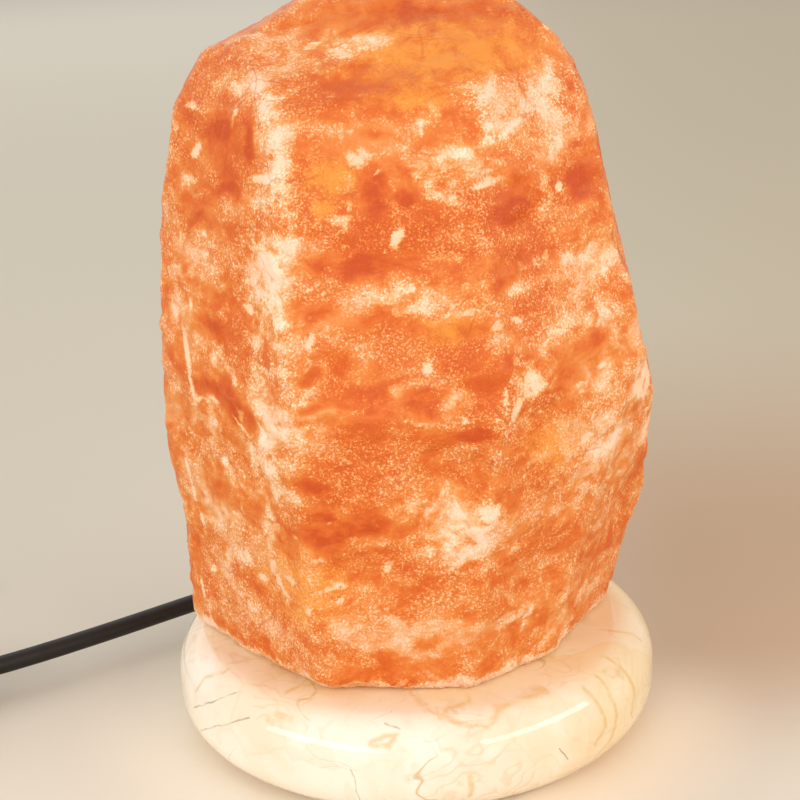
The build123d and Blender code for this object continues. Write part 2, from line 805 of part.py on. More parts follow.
with BuildPart() as cord_coil:
    with BuildLine() as coil_path:
        going = along_switch
        outward = -coil_radius
        Line(in_coil(outward, 0) - going * cord_diameter, in_coil(outward, 0))
        # in along the floor, each half turn half a step tighter
        for turn in range(coil_half_turns):
            side = -1 if turn % 2 else 1
            radius = coil_radius - turn * coil_step / 2
            reach = outward + side * 2 * radius
            TangentArc(in_coil(outward, 0), in_coil(reach, 0), tangent=going)
            outward = reach
            going = -going
        # the half turn where the spiral reverses climbs a layer in two quarter turns
        tightest = coil_radius - coil_half_turns * coil_step / 2
        radius = tightest
        reach = outward - 2 * radius
        sideways = sqrt(radius**2 + coil_step**2 / 4)
        halfway = in_coil((outward + reach) / 2, coil_step / 2) + going * sideways
        climb = TangentArc(in_coil(outward, 0), halfway, tangent=going)
        TangentArc(halfway, in_coil(reach, coil_step), tangent=climb % 1)
        outward = reach
        going = -going
        # out again on top, each half turn half a step wider
        for turn in range(coil_half_turns):
            side = -1 if turn % 2 else 1
            radius = radius + coil_step / 2
            reach = outward + side * 2 * radius
            TangentArc(in_coil(outward, coil_step), in_coil(reach, coil_step), tangent=going)
            outward = reach
            going = -going
        Line(in_coil(outward, coil_step), in_coil(outward, coil_step) + going * cord_diameter)
    coil_line = coil_path.wire()
    with BuildSketch(Plane(origin=coil_line @ 0, z_dir=coil_line % 0)):
        Circle(cord_diameter / 2)
    sweep()
coil_end = coil_line @ 1
leave_coil = going
coil_volume = pi * cord_diameter**2 / 4 * coil_line.length
print(f"cord_coil: length {coil_line.length:.1f}, least radius {tightest:.1f},")
print(f"  volume {cord_coil.part.volume:.1f} against section times length {coil_volume:.1f}")


def least_gap(line, step, apart):
    """The least space between turns of one tube, measured on points along its line."""
    count = int(line.length / step)
    points = [line @ (i / count) for i in range(count + 1)]
    skip = int(apart / step)
    least = line.length
    for i in range(0, count + 1, 3):
        for j in range(i + skip, count + 1):
            least = min(least, (points[j] - points[i]).length)
    return least - cord_diameter


print(f"  least gap to itself {least_gap(coil_line, 2.0, 30.0):.2f}")

switch_lead_route = [
    switch_exit,
    switch_exit + along_switch * coil_approach_straight,
    coil_start - along_switch * (cord_diameter + coil_approach_straight),
    coil_start - along_switch * cord_diameter,
]
switch_lead = tube_along("switch_lead", switch_lead_route, cord_diameter)

# the band round the turns, on the side away from the flex's two ends
tie_inner = coil_radius - coil_half_turns * coil_step / 2 - cord_diameter / 2
tie_outer = coil_radius + coil_step + cord_diameter / 2
tie_plane = Plane(
    origin=Vector(coil_middle.X, coil_middle.Y, 0) + along_switch * (tie_width / 2),
    x_dir=to_coil_middle,
    z_dir=-along_switch,
)
with BuildPart() as coil_tie:
    band_height = 2 * tie_thickness + coil_step + cord_diameter + tie_slack
    band_from = tie_inner - coil_step
    band_to = tie_outer + tie_slack + tie_thickness
    with BuildSketch(tie_plane):
        with Locations(((band_from + band_to) / 2, band_height / 2)):
            RectangleRounded(band_to - band_from, band_height, tie_corner_radius)
            RectangleRounded(
                band_to - band_from - 2 * tie_thickness,
                band_height - 2 * tie_thickness,
                tie_corner_radius - tie_thickness,
                mode=Mode.SUBTRACT,
            )
    extrude(amount=tie_width)

# ---------------------------------------------------------------- plug
plug_axis = plug_thickness / 2
plug_face = coil_end + leave_coil * plug_reach
plug_back = Vector(plug_face.X, plug_face.Y, plug_axis)
plug_lead_route = [
    coil_end,
    coil_end + leave_coil * plug_lead_straight,
    plug_back - leave_coil * (relief_length + plug_lead_run_in),
    plug_back,
]
plug_lead = tube_along("plug_lead", plug_lead_route, cord_diameter)


def plug_cross(distance):
    """The upright plane across the plug, this far along from its back."""
    across = leave_coil.cross(Vector(0, 0, 1))
    return Plane(origin=plug_back + leave_coil * distance, x_dir=across, z_dir=leave_coil)


with BuildPart() as plug_relief:
    with BuildSketch(plug_cross(-relief_length)):
        Circle(relief_tip_diameter / 2)
    with BuildSketch(plug_cross(0)):
        Circle(relief_diameter / 2)
    loft()
    with BuildSketch(plug_cross(-relief_length)):
        Circle(cord_diameter / 2 + flex_clearance)
    extrude(amount=relief_length, mode=Mode.SUBTRACT)

plug_level = Plane(origin=Vector(plug_back.X, plug_back.Y, 0), x_dir=leave_coil, z_dir=(0, 0, 1))
with BuildPart() as plug_body:
    with BuildSketch(plug_level):
        with BuildLine():
            Polyline(
                (0, plug_back_width / 2),
                (plug_back_length, plug_width / 2),
                (plug_length, plug_width / 2),
                (plug_length, -plug_width / 2),
                (plug_back_length, -plug_width / 2),
                (0, -plug_back_width / 2),
                close=True,
            )
        make_face()
    extrude(amount=plug_thickness)
    fillet(plug_body.edges().filter_by(Axis.Z), plug_edge_radius)
    fillet(plug_body.edges().group_by(Axis.Z)[-1], plug_edge_radius / 2)
    fillet(plug_body.edges().group_by(Axis.Z)[0], plug_edge_radius / 2)
    with BuildSketch(plug_cross(plug_length)):
        with GridLocations(plug_pin_spacing, 1, 2, 1):
            Circle(plug_pin_root_diameter / 2 + thread_clearance)
    extrude(amount=-plug_pin_root, mode=Mode.SUBTRACT)

with BuildPart() as plug_pins:
    with BuildSketch(plug_cross(plug_length)):
        with GridLocations(plug_pin_spacing, 1, 2, 1):
            Circle(plug_pin_diameter / 2)
    extrude(amount=plug_pin_length)
    pin_tips = plug_pins.edges().filter_by(GeomType.CIRCLE).sort_by(Axis(plug_back, leave_coil))[-2:]
    fillet(pin_tips, plug_pin_tip_radius)
    with BuildSketch(plug_cross(plug_length - plug_pin_root)):
        with GridLocations(plug_pin_spacing, 1, 2, 1):
            Circle(plug_pin_root_diameter / 2)
    extrude(amount=plug_pin_root)

# ---------------------------------------------------------------- write the parts
sub_parts = {
    "salt_crystal": salt_crystal,
    "marble_base": marble_base,
    "felt_disc": felt_disc,
    "cord_bushing": cord_bushing,
    "cord_inner": cord_inner,
    "cord_clamp": cord_clamp,
    "clamp_screws": clamp_screws,
    "live_wire": wires["live_wire"],
    "neutral_wire": wires["neutral_wire"],
    "holder_nipple": holder_nipple,
    "nipple_nut": nipple_nut,
    "nipple_washer": nipple_washer,
    "holder_cap": holder_cap,
    "holder_shell": holder_shell,
    "contact_carrier": contact_carrier,
    "terminal_screws": terminal_screws,
    "screw_shell": screw_shell,
    "centre_contact": centre_contact,
    "bulb_tip": bulb_tip,
    "bulb_insulator": bulb_insulator,
    "bulb_cap": bulb_cap,
    "bulb_glass": bulb_glass,
    "bulb_stem": bulb_stem,
    "bulb_leads": bulb_leads,
    "bulb_filament": bulb_filament,
    "cord_lead": cord_lead,
    "switch_lower": switch_lower,
    "switch_upper": switch_upper,
    "switch_rocker": switch_rocker,
    "switch_pin": switch_pin,
    "switch_screws": switch_screws,
    "switch_lead": switch_lead,
    "cord_coil": cord_coil,
    "coil_tie": coil_tie,
    "plug_lead": plug_lead,
    "plug_relief": plug_relief,
    "plug_body": plug_body,
    "plug_pins": plug_pins,
}
os.makedirs("parts", exist_ok=True)
for name, piece in sub_parts.items():
    piece.part.label = name
    export_step(piece.part, f"parts/{name}.step")
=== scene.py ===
import json
from math import cos, pi, radians, sin, tan

import bmesh
import bpy
import numpy as np
from mathutils import Matrix, Vector, noise


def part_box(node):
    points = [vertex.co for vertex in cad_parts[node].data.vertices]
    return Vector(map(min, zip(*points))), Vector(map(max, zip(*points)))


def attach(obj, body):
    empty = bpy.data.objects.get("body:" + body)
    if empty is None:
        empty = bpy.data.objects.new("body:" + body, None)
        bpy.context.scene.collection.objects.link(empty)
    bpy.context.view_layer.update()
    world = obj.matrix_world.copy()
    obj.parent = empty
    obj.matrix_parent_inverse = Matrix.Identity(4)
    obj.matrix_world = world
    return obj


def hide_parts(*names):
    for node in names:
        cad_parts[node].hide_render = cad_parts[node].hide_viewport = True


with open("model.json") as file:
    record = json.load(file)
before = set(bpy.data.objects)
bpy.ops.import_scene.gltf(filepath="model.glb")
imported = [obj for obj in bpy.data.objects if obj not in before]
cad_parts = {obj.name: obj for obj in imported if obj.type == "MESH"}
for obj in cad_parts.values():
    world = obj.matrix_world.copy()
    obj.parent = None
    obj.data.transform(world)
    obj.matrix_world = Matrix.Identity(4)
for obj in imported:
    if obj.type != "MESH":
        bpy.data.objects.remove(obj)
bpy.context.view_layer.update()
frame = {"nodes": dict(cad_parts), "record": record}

# Looks of the salt crystal lamp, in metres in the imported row's frame:
# +Z up, origin on the floor under the foot, front towards -Y.

MM = 0.001
SAME_PLACE = 0.01 * MM  # vertices closer than this are one
nodes = frame["nodes"]
bpy.ops.object.select_all(action="DESELECT")


# ------------------------------------------------------------------ node helpers
def linear(code):
    """A linear colour from an sRGB hex code."""
    channels = [int(code[i:i + 2], 16) / 255 for i in (1, 3, 5)]
    return [c / 12.92 if c <= 0.04045 else ((c + 0.055) / 1.055) ** 2.4 for c in channels] + [1.0]


def add(tree, kind, settings=None, links=None):
    """Adds one shader node with its settings and the links that come into it."""
    node = tree.nodes.new("ShaderNode" + kind)
    for key, value in (settings or {}).items():
        if isinstance(key, str) and hasattr(node, key):
            setattr(node, key, value)
        else:
            node.inputs[key].default_value = value
    for socket, output in (links or {}).items():
        tree.links.new(output, node.inputs[socket])
    return node


def blended(tree, factor, a, b):
    """Colour a turned into colour b by the factor; either may be a hex code."""
    settings = {"data_type": "RGBA", "clamp_factor": True}
    links = {}
    for index, value in ((0, factor), (6, a), (7, b)):
        if isinstance(value, str):
            settings[index] = linear(value)
        elif isinstance(value, (int, float)):
            settings[index] = value
        else:
            links[index] = value
    return add(tree, "Mix", settings, links).outputs[2]


def span(tree, value, low, high, to_low=0.0, to_high=1.0):
    """A value taken smoothly from one range to another, and held at its ends."""
    settings = {
        "interpolation_type": "SMOOTHSTEP",
        "From Min": low, "From Max": high, "To Min": to_low, "To Max": to_high,
    }
    return add(tree, "MapRange", settings, {"Value": value}).outputs[0]


def maths(tree, operation, a, b=0.5, c=None):
    """One calculation on values or outputs."""
    settings = {"operation": operation}
    links = {}
    for index, value in ((0, a), (1, b), (2, c)):
        if isinstance(value, (int, float)):
            settings[index] = value
        elif value is not None:
            links[index] = value
    return add(tree, "Math", settings, links).outputs[0]


def place(tree, stretch=(1, 1, 1), warp=0.0, warp_size=10.0):
    """Object coordinates, stretched, and shifted about by noise; sizes in millimetres."""
    out = add(tree, "TexCoord").outputs["Object"]
    if warp:
        swirl = add(tree, "TexNoise", {"Scale": 1000 / warp_size, "Detail": 3}, {"Vector": out})
        middle = add(tree, "VectorMath", {"operation": "SUBTRACT", 1: (0.5, 0.5, 0.5)},
                     {0: swirl.outputs["Color"]})
        shift = add(tree, "VectorMath", {"operation": "SCALE", "Scale": 2 * warp * MM},
                    {0: middle.outputs[0]})
        moved = add(tree, "VectorMath", {"operation": "ADD"}, {0: out, 1: shift.outputs[0]})
        out = moved.outputs[0]
    return add(tree, "Mapping", {"Scale": stretch}, {"Vector": out}).outputs[0]


def cloud(tree, where, size, detail=4.0, roughness=0.55, distortion=0.0):
    """Noise whose features are about this many millimetres across."""
    settings = {
        "Scale": 1000 / size, "Detail": detail, "Roughness": roughness, "Distortion": distortion,
    }
    return add(tree, "TexNoise", settings, {"Vector": where}).outputs["Fac"]


def cells(tree, where, size, feature="F1"):
    """Voronoi cells of about this many millimetres."""
    settings = {"feature": feature, "Scale": 1000 / size}
    return add(tree, "TexVoronoi", settings, {"Vector": where})


def ramp(tree, value, tones):
    """The value turned into a colour that runs through these tones."""
    node = add(tree, "ValToRGB", {}, {"Fac": value})
    stops = node.color_ramp.elements
    while len(stops) < len(tones):
        stops.new(0.5)
    # all the places first: a stop that passes another changes their order
    for stop, (at, _) in zip(stops, tones):
        stop.position = at
    for stop, (_, code) in zip(stops, tones):
        stop.color = linear(code)
    return node.outputs["Color"]


def bumped(tree, height, strength, depth, under=None):
    """A bump of this depth in millimetres, over another bump if one is given."""
    links = {"Height": height}
    if under is not None:
        links["Normal"] = under
    return add(tree, "Bump", {"Strength": strength, "Distance": depth * MM}, links).outputs[0]


def painted(tree, name):
    """A value that the piece's mesh carries at its vertices."""
    return add(tree, "Attribute", {"attribute_name": name}).outputs["Fac"]


def finish(name, make):
    """A material: the given function adds its nodes and says the shader's settings and links."""
    material = bpy.data.materials.new(name)
    material.use_nodes = True
    tree = material.node_tree
    tree.nodes.clear()
    settings, links = make(tree)
    shader = add(tree, "BsdfPrincipled", settings, links)
    add(tree, "OutputMaterial", {}, {"Surface": shader.outputs[0]})
    return material


# ------------------------------------------------------------------ materials
# From clear salt with iron in it to crushed, clouded salt.
SALT_TONES = [
    (0.0, "#C44A10"), (0.2, "#D6641E"), (0.4, "#E08238"), (0.6, "#E8A568"),
    (0.8, "#F0C59C"), (1.0, "#F7DEC4"),
]


def toward(tree, value, target, share):
    """A value drawn toward a target by a share."""
    return maths(tree, "MULTIPLY_ADD", share, maths(tree, "SUBTRACT", target, value), value)


def ragged(tree, mark, middle, grain, low, high, most):
    """A painted mark that noise breaks up."""
    rough = maths(tree, "MULTIPLY_ADD", grain, 1.6, maths(tree, "MULTIPLY_ADD", middle, 3.0, -1.3))
    return span(tree, maths(tree, "MULTIPLY", mark, rough), low, high, 0, most)


def rock_salt(tree):
    """Hewn rock salt: orange with iron, gritty and clouded with paler salt in flat-lying bands.

    The crystal's marks come in as values at its vertices, and noise breaks up their edges.
    Its emission stands in for the light that goes round inside the salt. Its convex edges are paler
    partly from a painted sheen, and broad marks darken its top with painted shade.
    """
    flat = place(tree, (1, 1, 1.6), 2.5, 12)
    broad = cloud(tree, flat, 24, 4, 0.55)
    wisps = cloud(tree, flat, 17, 10, 0.66, 0.5)
    middle = cloud(tree, place(tree, (1, 1, 1.15), 1.2, 4), 5.0, 7, 0.64, 0.3)
    grain = cloud(tree, place(tree), 0.6, 4, 0.74)
    pale, gold, deep, grit, flake, ridge_wear_and_sheen, haze = [
        painted(tree, name) for name in ("pale", "gold", "deep", "grit", "flake", "ridge_wear_and_sheen", "haze")]
    # grit lies thick in some bands and is missing from the deep, glassy places
    density = maths(tree, "MULTIPLY_ADD", broad, 0.45, maths(tree, "MULTIPLY", middle, 0.55))
    density = maths(tree, "MULTIPLY_ADD", grit, 0.1, density)
    density = maths(tree, "MULTIPLY_ADD", deep, -0.12, density)
    density = span(tree, density, 0.44, 0.56, 0.1, 1)
    specks = maths(tree, "MULTIPLY", span(tree, grain, 0.47, 0.68), density)
    # one value from deep orange to cream
    value = span(tree, wisps, 0.36, 0.68, 0.07, 0.4)
    # darker in the deep, glassy marks; on the top face these marks are painted shade
    value = maths(tree, "SUBTRACT", value, ragged(tree, deep, middle, grain, 0.15, 0.9, 0.26))
    value = maths(tree, "MULTIPLY_ADD", haze, span(tree, middle, 0.35, 0.6, 0.14, 0.4), value)
    value = maths(tree, "MULTIPLY_ADD", specks, 0.58, value)
    value = maths(tree, "ADD", value, span(tree, middle, 0.54, 0.74, 0, 0.16))
    # paler along the convex edges: partly worn salt, partly a painted sheen
    value = maths(tree, "MULTIPLY_ADD", ridge_wear_and_sheen, span(tree, grain, 0.4, 0.65, 0.1, 0.5), value)
    value = maths(tree, "ADD", value, ragged(tree, pale, middle, grain, 0.08, 0.8, 0.34))
    value = toward(tree, value, 0.93, ragged(tree, flake, middle, grain, 0.25, 0.66, 0.85))
    colour = ramp(tree, value, SALT_TONES)
    rosy = span(tree, cloud(tree, flat, 17, 3), 0.48, 0.62, 0, 0.4)
    rosy = maths(tree, "MULTIPLY", rosy, span(tree, value, 0.35, 0.8))
    colour = blended(tree, rosy, colour, "#F0B898")
    yellow = maths(tree, "MULTIPLY", ragged(tree, gold, middle, grain, 0.1, 0.8, 0.8),
                   span(tree, value, 0.8, 0.4, 0.25, 1))
    colour = blended(tree, yellow, colour, "#EC9638")
    # hairline cracks, in some bands only
    crack = cells(tree, place(tree, (1, 1, 0.8), 5, 16), 21, "DISTANCE_TO_EDGE").outputs["Distance"]
    crack = span(tree, crack, 0.0, 0.02, 1, 0)
    crack = maths(tree, "MULTIPLY", crack, span(tree, broad, 0.52, 0.6, 0, 0.4))
    colour = blended(tree, crack, colour, "#C04A20")
    fine = bumped(tree, grain, 0.5, 0.4)
    bump = bumped(tree, middle, 0.6, 1.2, fine)
    settings = {"IOR": 1.544, "Specular IOR Level": 0.3, "Emission Strength": 0.11}
    return settings, {
        "Base Color": colour, "Roughness": span(tree, value, 0.2, 0.8, 0.36, 0.6),
        "Normal": bump, "Emission Color": colour,
    }


# Cracks and veins seen on the marble, as points on its surface in millimetres.
MARBLE_MIDDLE = Vector((0, 0, 13)) * MM
MARBLE_CRACKS = [
    [(-58.9, -27.6, 14.6), (-52.4, -36.1, 20.6), (-46.1, -38.4, 24.4)],
    [(-57.1, -31.0, 9.6), (-49.0, -42.3, 17.6), (-42.4, -46.7, 21.5)],
    [(34.6, -55.0, 14.8), (36.8, -53.6, 10.4)],
    [(-8.4, -58.3, 25.0), (-4.8, -60.1, 24.3)],
]
MARBLE_VEINS = [
    [(-1.5, -44.9, 26.0), (1.3, -52.8, 26.0), (5.1, -56.9, 25.7),
     (10.4, -58.8, 24.6), (16.2, -59.0, 23.6)],
    [(16.2, -59.0, 23.6), (18.9, -56.0, 24.9), (19.5, -53.5, 25.7),
     (25.2, -50.2, 25.9), (31.8, -45.7, 25.9)],
    [(46.1, -37.3, 24.8), (48.8, -40.3, 21.2), (50.6, -40.8, 15.1),
     (49.2, -42.4, 9.7), (44.7, -46.0, 6.8)],
    [(42.4, -43.1, 24.1), (45.7, -44.8, 19.8), (47.3, -44.5, 13.9), (44.5, -47.4, 11.1)],
    [(60.1, -14.7, 23.0), (58.0, -14.2, 24.6), (54.1, -15.1, 25.9)],
    [(11.4, -64.0, 13.2), (12.3, -63.8, 10.3), (11.8, -63.1, 7.1)],
    [(50.1, -29.7, 25.3), (54.1, -31.1, 22.4), (56.1, -32.4, 17.8), (55.4, -34.0, 12.2)],
    [(5.1, -57.8, 25.4), (8.2, -53.3, 26.0), (12.8, -49.6, 26.0)],
    [(-58.0, -27.5, 19.6), (-55.7, -27.2, 22.9), (-50.7, -28.9, 25.3)],
    [(-11.7, -61.9, 21.7), (-8.7, -60.9, 23.3), (-5.6, -61.2, 23.3),
     (-7.3, -62.7, 21.5), (-11.2, -62.5, 21.0)],
    [(-32.4, -41.2, 26.0), (-30.0, -38.2, 26.0), (-26.9, -38.4, 26.0)],
]


def traced(tree, where, routes, width):
    """1 along these routes, falling to 0 at half the width, in millimetres.

    Each stretch is a fissure that runs on toward the middle of the stone.
    """
    def vectors(operation, a, b, output="Vector"):
        settings, links = {"operation": operation}, {}
        for index, value in ((0, a), (1, b)):
            (settings if isinstance(value, Vector) else links)[index] = value
        return add(tree, "VectorMath", settings, links).outputs[output]

    nearest = None
    for route in routes:
        for start, end in zip(route, route[1:]):
            start, end = Vector(start) * MM, Vector(end) * MM
            along, inward = end - start, (start + end) / 2 - MARBLE_MIDDLE
            out = vectors("SUBTRACT", where, start)
            share = vectors("DOT_PRODUCT", out, along / along.length_squared, "Value")
            share = add(tree, "MapRange", {}, {"Value": share}).outputs[0]
            foot = add(tree, "VectorMath", {"operation": "SCALE", 0: along}, {"Scale": share})
            gap = vectors("SUBTRACT", out, foot.outputs[0])
            gap = vectors("DISTANCE", gap, vectors("PROJECT", gap, inward), "Value")
            nearest = gap if nearest is None else maths(tree, "MINIMUM", nearest, gap)
    return span(tree, nearest, 0, width / 2 * MM, 1, 0)


def marble(tree):
    """Polished cream marble: faint rounded clasts and nested bands, golden veins, thin cracks."""
    where = place(tree, (1, 1, 1), 7, 24)
    haze = cloud(tree, where, 30, 6, 0.6)
    colour = blended(tree, span(tree, haze, 0.4, 0.66), "#FBF0DF", "#F5E3C8")
    # more golden toward its right
    side = add(tree, "SeparateXYZ", {}, {"Vector": where}).outputs["X"]
    golden = span(tree, side, 0.01, 0.055, 0, 0.85)
    golden = maths(tree, "MULTIPLY", golden, span(tree, haze, 0.4, 0.6, 0.5, 1))
    colour = blended(tree, golden, colour, "#EFD2A2")
    # painted warm glow of the salt's light on the top, round the salt's foot
    painted_salt_glow = add(tree, "VectorMath", {"operation": "LENGTH"}, {0: place(tree, (1, 1, 0), 4, 20)})
    painted_salt_glow = span(tree, painted_salt_glow.outputs["Value"], 0.062, 0.044, 0, 0.75)
    colour = blended(tree, painted_salt_glow, colour, "#E9C48A")
    clast = cells(tree, where, 15)
    tone = add(tree, "SeparateColor", {}, {"Color": clast.outputs["Color"]}).outputs[0]
    colour = blended(tree, span(tree, tone, 0.3, 1, 0, 0.4), colour, "#F2DFC4")
    # nested bands, as if the stone had been folded
    fold = cloud(tree, place(tree, (1, 1, 1.5), 5, 18), 34, 3, 0.5)
    bands = maths(tree, "FRACT", maths(tree, "MULTIPLY", fold, 16))
    bands = maths(tree, "ABSOLUTE", maths(tree, "SUBTRACT", bands, 0.5))
    seen = span(tree, cloud(tree, where, 22, 3, 0.6), 0.47, 0.62, 0, 0.3)
    bands = maths(tree, "MULTIPLY", span(tree, bands, 0.0, 0.2, 1, 0), seen)
    colour = blended(tree, bands, colour, "#DDB985")
    # seams round the clasts
    seam = cells(tree, where, 15, "DISTANCE_TO_EDGE").outputs["Distance"]
    seam = span(tree, seam, 0.0, 0.05, 1, 0)
    seam = maths(tree, "MULTIPLY", seam, span(tree, haze, 0.44, 0.64, 0, 0.2))
    colour = blended(tree, seam, colour, "#DDBB8C")
    # golden veins and stains that wander through the whole stone
    vein = cloud(tree, place(tree, (1, 1, 1.4), 9, 30), 46, 3, 0.55)
    vein = maths(tree, "ABSOLUTE", maths(tree, "SUBTRACT", vein, 0.5))
    strength = span(tree, cloud(tree, where, 20, 3), 0.5, 0.64, 0, 0.6)
    vein = maths(tree, "MULTIPLY", span(tree, vein, 0.0, 0.012, 1, 0), strength)
    colour = blended(tree, vein, colour, "#CF9F55")
    stain = span(tree, cloud(tree, where, 5, 5, 0.7), 0.56, 0.7)
    stain = maths(tree, "MULTIPLY", stain, strength)
    colour = blended(tree, maths(tree, "MULTIPLY", stain, 0.6), colour, "#DDB468")
    # the veins and cracks that the front shows
    patchy = span(tree, cloud(tree, where, 4, 4, 0.6), 0.38, 0.52, 0.45, 1)
    golden = traced(tree, place(tree, warp=1.6, warp_size=7), MARBLE_VEINS, 2.4)
    golden = maths(tree, "MULTIPLY", golden, patchy)
    colour = blended(tree, maths(tree, "MULTIPLY", golden, 0.5), colour, "#DEAA52")
    line = traced(tree, place(tree, warp=0.7, warp_size=5), MARBLE_CRACKS, 0.7)
    line = maths(tree, "MULTIPLY", line, patchy)
    colour = blended(tree, maths(tree, "MULTIPLY", line, 0.7), colour, "#9A8468")
    crack = cells(tree, place(tree, (0.7, 1, 3), 3, 9), 40, "DISTANCE_TO_EDGE")
    crack = span(tree, crack.outputs["Distance"], 0.0, 0.005, 1, 0)
    crack = maths(tree, "MULTIPLY", crack, span(tree, haze, 0.38, 0.48, 0.55, 0))
    colour = blended(tree, crack, colour, "#9C8A74")
    settings = {"Roughness": 0.05, "IOR": 1.5, "Specular IOR Level": 0.3}
    return settings, {"Base Color": colour}


def plain(colour, rough, metallic=0.0, grain=0.0, depth=0.0, size=1.0, other=None,
          stretch=(1, 1, 1)):
    """A finish of one colour with a little unevenness in tone, roughness and surface.

    The grain is how far its roughness varies; depth and size of its bumps are in millimetres.
    """
    def make(tree):
        where = place(tree, stretch)
        wear = cloud(tree, where, 9 * size, 4, 0.6)
        shade = blended(tree, span(tree, wear, 0.35, 0.7, 0, 1), colour, other or colour)
        links = {
            "Base Color": shade,
            "Roughness": span(tree, wear, 0.3, 0.7, rough - grain, rough + grain),
        }
        if depth:
            links["Normal"] = bumped(tree, cloud(tree, where, size, 4, 0.6), 0.5, depth)
        return {"Metallic": metallic}, links
    return make


def blown_glass(tree):
    """Clear blown glass, thin and faintly wavy."""
    wave = bumped(tree, cloud(tree, place(tree), 14, 2), 0.2, 0.2)
    settings = {
        "Base Color": linear("#FFFFFF"), "Roughness": 0.02, "IOR": 1.5, "Transmission Weight": 1.0,
    }
    return settings, {"Normal": wave}


def wire_tungsten(tree):
    """Drawn tungsten wire that just glows."""
    shade = blended(tree, cloud(tree, place(tree), 0.5, 3), "#5A5550", "#7A746C")
    settings = {
        "Metallic": 1.0, "Roughness": 0.4, "Emission Color": linear("#FFB066"),
        "Emission Strength": 1.5,
    }
    return settings, {"Base Color": shade}


# Each slot's finish, named for its real material and how that is made. The plain ones
# say colour, roughness, metallic, grain, depth, size, other colour and stretch.
PLAIN = {
    "black_felt": ("black_wool_felt_pressed", "#1A1918", 0.95, 0, 0.04, 0.3, 0.8, "#2A2826"),
    "black_pvc": ("black_pvc_flex_extruded", "#120A04", 0.56, 0, 0.08, 0.03, 1.6, "#180E06"),
    "plug_pvc": ("black_pvc_plug_moulded", "#141210", 0.5, 0, 0.06, 0.02, 0.9, "#1A1715"),
    "black_thermoplastic": (
        "black_thermoplastic_moulded", "#181716", 0.38, 0, 0.05, 0.02, 0.7, "#1F1D1C"),
    "white_ceramic": ("white_steatite_glazed", "#E9E6DC", 0.3, 0, 0.05, 0.03, 3.0, "#F2EFE6"),
    "zinc_plated_steel": (
        "zinc_plated_steel_turned", "#B9B8B2", 0.34, 1.0, 0.08, 0.02, 0.8, "#C8C7C2", (1, 1, 6)),
    "brass": ("brass_drawn", "#C8A050", 0.3, 1.0, 0.08, 0.01, 0.9, "#B98F43", (1, 1, 4)),
    "nickel_plated_brass": (
        "nickel_plated_brass_bright", "#CFC9BD", 0.2, 1.0, 0.06, 0.01, 1.2, "#BDB6A8"),
    "solder": ("tin_solder_cast", "#A6A49E", 0.42, 1.0, 0.08, 0.05, 1.0, "#8F8D88"),
    "black_glass": ("black_vitrite_glass_cast", "#0B0A0C", 0.12, 0, 0.04, 0.02, 2.0, "#131116"),
    "brown_core": ("brown_core_pvc_extruded", "#5A3017", 0.45, 0, 0.05, 0.02, 1.0, "#66381D"),
    "blue_core": ("blue_core_pvc_extruded", "#1F4C9C", 0.45, 0, 0.05, 0.02, 1.0, "#2757AA"),
}
MATERIALS = {
    "rock_salt": finish("rock_salt_hewn", rock_salt),
    "cream_marble": finish("cream_marble_polished", marble),
    "clear_glass": finish("clear_glass_blown", blown_glass),
    "tungsten": finish("tungsten_wire_drawn", wire_tungsten),
}
MATERIALS |= {slot: finish(name, plain(*values)) for slot, (name, *values) in PLAIN.items()}
# moulded black pieces, a little glossier than the flex
PLUG_NODES = ("plug_relief", "plug_body", "cord_bushing", "coil_tie")


# ------------------------------------------------------------------ mesh helpers
def only(obj):
    """Makes one object the selected and active one."""
    bpy.ops.object.select_all(action="DESELECT")
    obj.select_set(True)
    bpy.context.view_layer.objects.active = obj


def apply(obj, kind, **settings):
    """Adds a modifier and applies it."""
    modifier = obj.modifiers.new(kind.lower(), kind)
    for key, value in settings.items():
        setattr(modifier, key, value)
    only(obj)
    bpy.ops.object.modifier_apply(modifier=modifier.name)


def merged_copy(node, name):
    """A copy of a CAD node's mesh as a piece of its own, its doubled vertices merged."""
    source = nodes[node]
    mesh = source.data.copy()
    mesh.name = name
    mesh.materials.clear()
    obj = bpy.data.objects.new(name, mesh)
    bpy.context.collection.objects.link(obj)
    edit = bmesh.new()
    edit.from_mesh(mesh)
    bmesh.ops.remove_doubles(edit, verts=edit.verts, dist=SAME_PLACE)
    edit.to_mesh(mesh)
    edit.free()
    return obj


def coordinates(mesh):
    """A mesh's vertices as an array."""
    co = np.empty(len(mesh.vertices) * 3)
    mesh.vertices.foreach_get("co", co)
    return co.reshape(-1, 3)


def smoothed(mesh, values, rounds):
    """Values at the vertices, averaged with their neighbours this many times."""
    edges = np.empty(len(mesh.edges) * 2, int)
    mesh.edges.foreach_get("vertices", edges)
    a, b = edges.reshape(-1, 2).T
    count = np.bincount(a, minlength=len(values)) + np.bincount(b, minlength=len(values))
    for _ in range(rounds):
        total = np.empty_like(values)
        for axis in range(values.shape[1]):
            total[:, axis] = (np.bincount(a, values[b, axis], len(values))
                              + np.bincount(b, values[a, axis], len(values)))
        values = 0.5 * values + 0.5 * total / count[:, None]
    return values


def step(low, high, values):
    """Smooth step from 0 at low to 1 at high."""
    t = np.clip((values - low) / (high - low), 0, 1)
    return t * t * (3 - 2 * t)


def noise_at(points, size, octaves=3):
    """Fractal noise from -1 to 1 at points in millimetres."""
    scaled = points / size
    return np.array([noise.fractal(Vector(p), 1.0, 2.0, octaves, noise_basis="PERLIN_ORIGINAL")
                     for p in scaled])


